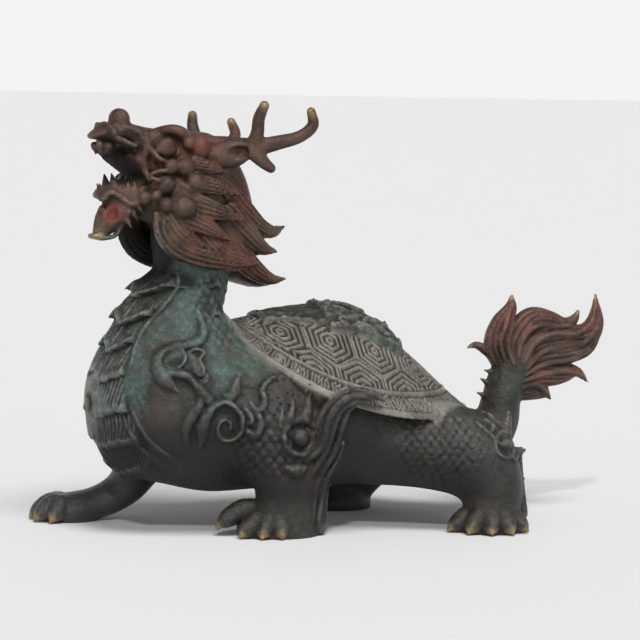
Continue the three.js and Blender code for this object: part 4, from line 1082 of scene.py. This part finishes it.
def statue():
    field = build()
    vertices, quads = surface_net(down_to_ground(field))
    mesh = mesh_of("dragon_turtle", vertices, quads)
    piece = bpy.data.objects.new("dragon_turtle_bronze", mesh)
    bpy.context.scene.collection.objects.link(piece)
    if len(mesh.polygons) * 2 > FACES:
        thin = piece.modifiers.new("thin", "DECIMATE")
        thin.ratio = FACES / (len(mesh.polygons) * 2)
        thin.use_collapse_triangulate = True
        ready = bpy.data.meshes.new_from_object(piece.evaluated_get(bpy.context.evaluated_depsgraph_get()))
        piece.modifiers.clear()
        piece.data = ready
    mesh = piece.data
    one_skin(mesh)
    count = len(mesh.vertices)
    points, normals = np.empty(count * 3), np.empty(count * 3)
    mesh.vertices.foreach_get("co", points)
    mesh.vertices.foreach_get("normal", normals)
    points = points.reshape(-1, 3)
    for name, values in marks(field, points, normals.reshape(-1, 3)).items():
        layer = mesh.attributes.new(name, "FLOAT", "POINT")
        layer.data.foreach_set("value", np.asarray(values, np.float32))
    points = (points - [CAD_MIDDLE[0], CAD_MIDDLE[1], GROUND]) / 1000
    mesh.vertices.foreach_set("co", points.astype(np.float32).ravel())
    mesh.update()
    mesh.shade_smooth()
    return piece


class Recipe:
    """Short names for the nodes that a material is mixed from."""

    def __init__(self, name):
        self.material = bpy.data.materials.new(name)
        self.material.use_nodes = True
        self.tree = self.material.node_tree
        self.shader = self.tree.nodes["Principled BSDF"]
        self.place = self.make("ShaderNodeTexCoord").outputs["Object"]

    def make(self, kind, inputs=(), **settings):
        node = self.tree.nodes.new(kind)
        for key, value in settings.items():
            setattr(node, key, value)
        for socket, value in inputs:
            self.put(node.inputs[socket], value)
        return node

    def put(self, socket, value):
        if isinstance(value, bpy.types.NodeSocket):
            self.tree.links.new(value, socket)
        elif isinstance(value, tuple):
            socket.default_value = (*value, 1)
        else:
            socket.default_value = value

    def mark(self, name):
        return self.make("ShaderNodeAttribute", attribute_name=name).outputs["Fac"]

    def noise(self, size_mm, detail=4, rough=0.6):
        inputs = [("Vector", self.place), ("Scale", 1000 / size_mm), ("Detail", detail), ("Roughness", rough)]
        return self.make("ShaderNodeTexNoise", inputs).outputs["Fac"]

    def span(self, value, low, high, to_low=0.0, to_high=1.0):
        source = [("Value", value), ("From Min", low), ("From Max", high)]
        target = [("To Min", to_low), ("To Max", to_high)]
        return self.make("ShaderNodeMapRange", source + target).outputs["Result"]

    def math(self, operation, a, b):
        return self.make("ShaderNodeMath", [(0, a), (1, b)], operation=operation, use_clamp=True).outputs[0]

    def both(self, *values):
        total = values[0]
        for value in values[1:]:
            total = self.math("MULTIPLY", total, value)
        return total

    def mix(self, factor, a, b):
        node = self.make("ShaderNodeMix", data_type="RGBA")
        self.put(node.inputs[0], factor)
        self.put(node.inputs[6], a)
        self.put(node.inputs[7], b)
        return node.outputs[2]

    def blend(self, factor, a, b):
        node = self.make("ShaderNodeMix", data_type="FLOAT")
        self.put(node.inputs[0], factor)
        self.put(node.inputs[2], a)
        self.put(node.inputs[3], b)
        return node.outputs[0]


def bronze():
    """Dark cast bronze under its patina: verdigris, traces of red, dust in the recesses, rubbed edges, and
    painted shade in the recesses, underneath, and in the throat and mouth.
    """
    r = Recipe("patinated_bronze")
    recess, ridge, hollow, reds = r.mark("recess"), r.mark("ridge"), r.mark("hollow"), r.mark("reds")
    on_head, on_shell, on_plaque, greens = r.mark("head"), r.mark("shell"), r.mark("plaque"), r.mark("greens")
    under, throat_mouth_shadow, red_spot = r.mark("under"), r.mark("throat_mouth_shadow"), r.mark("red_spot")
    bright, smooth = r.mark("bright"), r.mark("smooth")
    broad, cloud, blotch = r.noise(26, 5, 0.6), r.noise(15, 5, 0.65), r.noise(9, 6, 0.65)
    grain, speck = r.noise(2.2, 5, 0.7), r.noise(0.7, 3, 0.7)

    body = r.mix(r.span(blotch, 0.35, 0.68), DARK, DULL)
    body = r.mix(r.both(r.span(grain, 0.45, 0.7), 0.5), body, PALE)
    # verdigris over the neck, breast and flank, in soft patches
    spread = r.math("ADD", r.math("MULTIPLY", broad, 0.6), r.math("MULTIPLY", blotch, 0.4))
    patch = r.both(greens, r.span(spread, 0.42, 0.56))
    body = r.mix(r.both(patch, 0.8), body, GREEN)
    body = r.mix(r.both(patch, r.span(grain, 0.48, 0.66), 0.75), body, PALE_GREEN)
    body = r.mix(r.both(r.span(cloud, 0.52, 0.64), 0.65), body, UMBER)
    # the head and the tail tuft keep a red-brown coat
    coat = r.mix(r.span(blotch, 0.38, 0.62), DARK_RED, BROWN)
    coat = r.mix(r.both(r.span(broad, 0.5, 0.62), r.span(grain, 0.4, 0.6), 0.85), coat, LACQUER)
    body = r.mix(reds, body, coat)
    # the shell's raised lines are pale and dusty
    pale = r.mix(r.span(blotch, 0.35, 0.65), SHELL_DULL, SHELL_PALE)
    body = r.mix(r.both(on_shell, r.math("SUBTRACT", 1.0, on_plaque), 0.85), body, pale)
    # painted shade blackens the furrows and pockets, and some of them hold dust
    body = r.mix(r.both(recess, 0.88), body, PAINTED_SHADE)
    body = r.mix(r.both(hollow, 0.55), body, PAINTED_SHADE)
    dust = r.both(r.math("MAXIMUM", r.both(recess, 0.5), hollow), r.span(blotch, 0.36, 0.56))
    body = r.mix(r.both(dust, on_head, 0.75), body, OCHRE)
    body = r.mix(r.both(dust, r.math("SUBTRACT", 1.0, on_head), 0.3), body, EARTH)
    # handling has rubbed the edges, and a few tips down to the metal
    worn = r.both(ridge, r.span(grain, 0.35, 0.58))
    body = r.mix(r.both(worn, r.math("SUBTRACT", 1.0, reds), 0.62), body, RUBBED_GREY)
    body = r.mix(r.both(worn, reds, 0.5), body, RUBBED_BROWN)
    body = r.mix(r.both(smooth, 0.6), body, POLISHED)
    # painted shade: downward-facing, low surfaces blackened
    body = r.mix(r.both(under, 0.85), body, PAINTED_SHADE)
    # painted shadow: the throat and the inside of the mouth blackened
    body = r.mix(r.both(throat_mouth_shadow, 0.93), body, PAINTED_SHADE)
    # a red spot in the chin's hollow, tips rubbed back to brass, and fine specks
    body = r.mix(r.both(red_spot, 0.8), body, LACQUER)
    body = r.mix(r.both(bright, r.span(grain, 0.3, 0.5), 0.7), body, BRASS)
    body = r.mix(r.both(r.span(speck, 0.6, 0.75), 0.3), body, DARK)
    r.put(r.shader.inputs["Base Color"], body)

    metal = r.blend(worn, 0.25, 0.7)
    metal = r.blend(r.both(dust, 0.8), metal, 0.0)
    metal = r.blend(r.both(patch, 0.6), metal, 0.05)
    metal = r.blend(bright, metal, 0.9)
    r.put(r.shader.inputs["Metallic"], metal)
    rough = r.span(grain, 0.3, 0.7, 0.3, 0.55)
    rough = r.blend(worn, rough, 0.26)
    rough = r.blend(r.math("MAXIMUM", r.both(dust, 0.8), r.math("MAXIMUM", recess, throat_mouth_shadow)), rough, 0.85)
    rough = r.blend(smooth, rough, 0.3)
    r.put(r.shader.inputs["Roughness"], rough)
    relief = r.math("ADD", r.math("MULTIPLY", grain, 0.7), r.math("MULTIPLY", speck, 0.3))
    bump = r.make("ShaderNodeBump", [("Height", relief), ("Strength", 0.7), ("Distance", 0.0012)])
    r.put(r.shader.inputs["Normal"], bump.outputs["Normal"])
    return r.material


def studio():
    bpy.context.scene.view_settings.view_transform = "Standard"
    corners = np.array([(-1, -1, 0), (1, -1, 0), (1, 1, 0), (-1, 1, 0)], float) * 30
    floor_mesh = mesh_of("floor", corners, np.array([[0, 1, 2, 3]]))
    floor = bpy.data.objects.new("floor", floor_mesh)
    bpy.context.scene.collection.objects.link(floor)
    pale = bpy.data.materials.new("pale_floor")
    pale.use_nodes = True
    pale.node_tree.nodes["Principled BSDF"].inputs["Base Color"].default_value = (0.8, 0.8, 0.8, 1)
    pale.node_tree.nodes["Principled BSDF"].inputs["Roughness"].default_value = 0.9
    floor_mesh.materials.append(pale)
    world = bpy.data.worlds.new("studio")
    bpy.context.scene.world = world
    world.use_nodes = True
    tree = world.node_tree
    # the studio's walls are bright and its ceiling is dim
    direction = tree.nodes.new("ShaderNodeTexCoord")
    split = tree.nodes.new("ShaderNodeSeparateXYZ")
    strength = tree.nodes.new("ShaderNodeMapRange")
    tree.links.new(direction.outputs["Generated"], split.inputs[0])
    tree.links.new(split.outputs["Z"], strength.inputs["Value"])
    for socket, value in (("From Min", 0.18), ("From Max", 0.5), ("To Min", 0.9), ("To Max", 0.2)):
        strength.inputs[socket].default_value = value
    tree.nodes["Background"].inputs["Color"].default_value = (1, 1, 1, 1)
    tree.links.new(strength.outputs["Result"], tree.nodes["Background"].inputs["Strength"])
    for name, energy, spread, heading in (
        ("key", 2.0, 24, (-0.05, 0.45, -0.9)),
        ("sparkle", 0.9, 5, (0.35, 0.75, -0.75)),
    ):
        sun = bpy.data.lights.new(name, "SUN")
        sun.energy, sun.angle = energy, math.radians(spread)
        holder = bpy.data.objects.new(name, sun)
        holder.rotation_euler = Vector(heading).to_track_quat("-Z", "Y").to_euler()
        bpy.context.scene.collection.objects.link(holder)


def camera():
    azimuth, elevation, roll = (math.radians(a) for a in (-20, 5, 1))
    back = Vector((
        math.sin(azimuth) * math.cos(elevation), -math.cos(azimuth) * math.cos(elevation), math.sin(elevation)
    ))
    level = Vector((math.cos(azimuth), math.sin(azimuth), 0))
    upright = back.cross(level)
    right = level * math.cos(roll) + upright * math.sin(roll)
    up = upright * math.cos(roll) - level * math.sin(roll)
    lens = bpy.data.cameras.new("camera")
    lens.lens, lens.sensor_width = 151.875, 36
    holder = bpy.data.objects.new("camera", lens)
    target = Vector(((0 - CAD_MIDDLE[0]) / 1000, (0 - CAD_MIDDLE[1]) / 1000, (69.2 - GROUND) / 1000))
    place = target + back * 0.9
    holder.matrix_world = Matrix((
        (right.x, up.x, back.x, place.x),
        (right.y, up.y, back.y, place.y),
        (right.z, up.z, back.z, place.z),
        (0, 0, 0, 1),
    ))
    bpy.context.scene.collection.objects.link(holder)
    bpy.context.scene.camera = holder


piece = statue()
piece.data.materials.append(bronze())
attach(piece, "root")
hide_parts("dragon_turtle")
studio()
camera()
bpy.context.view_layer.update()
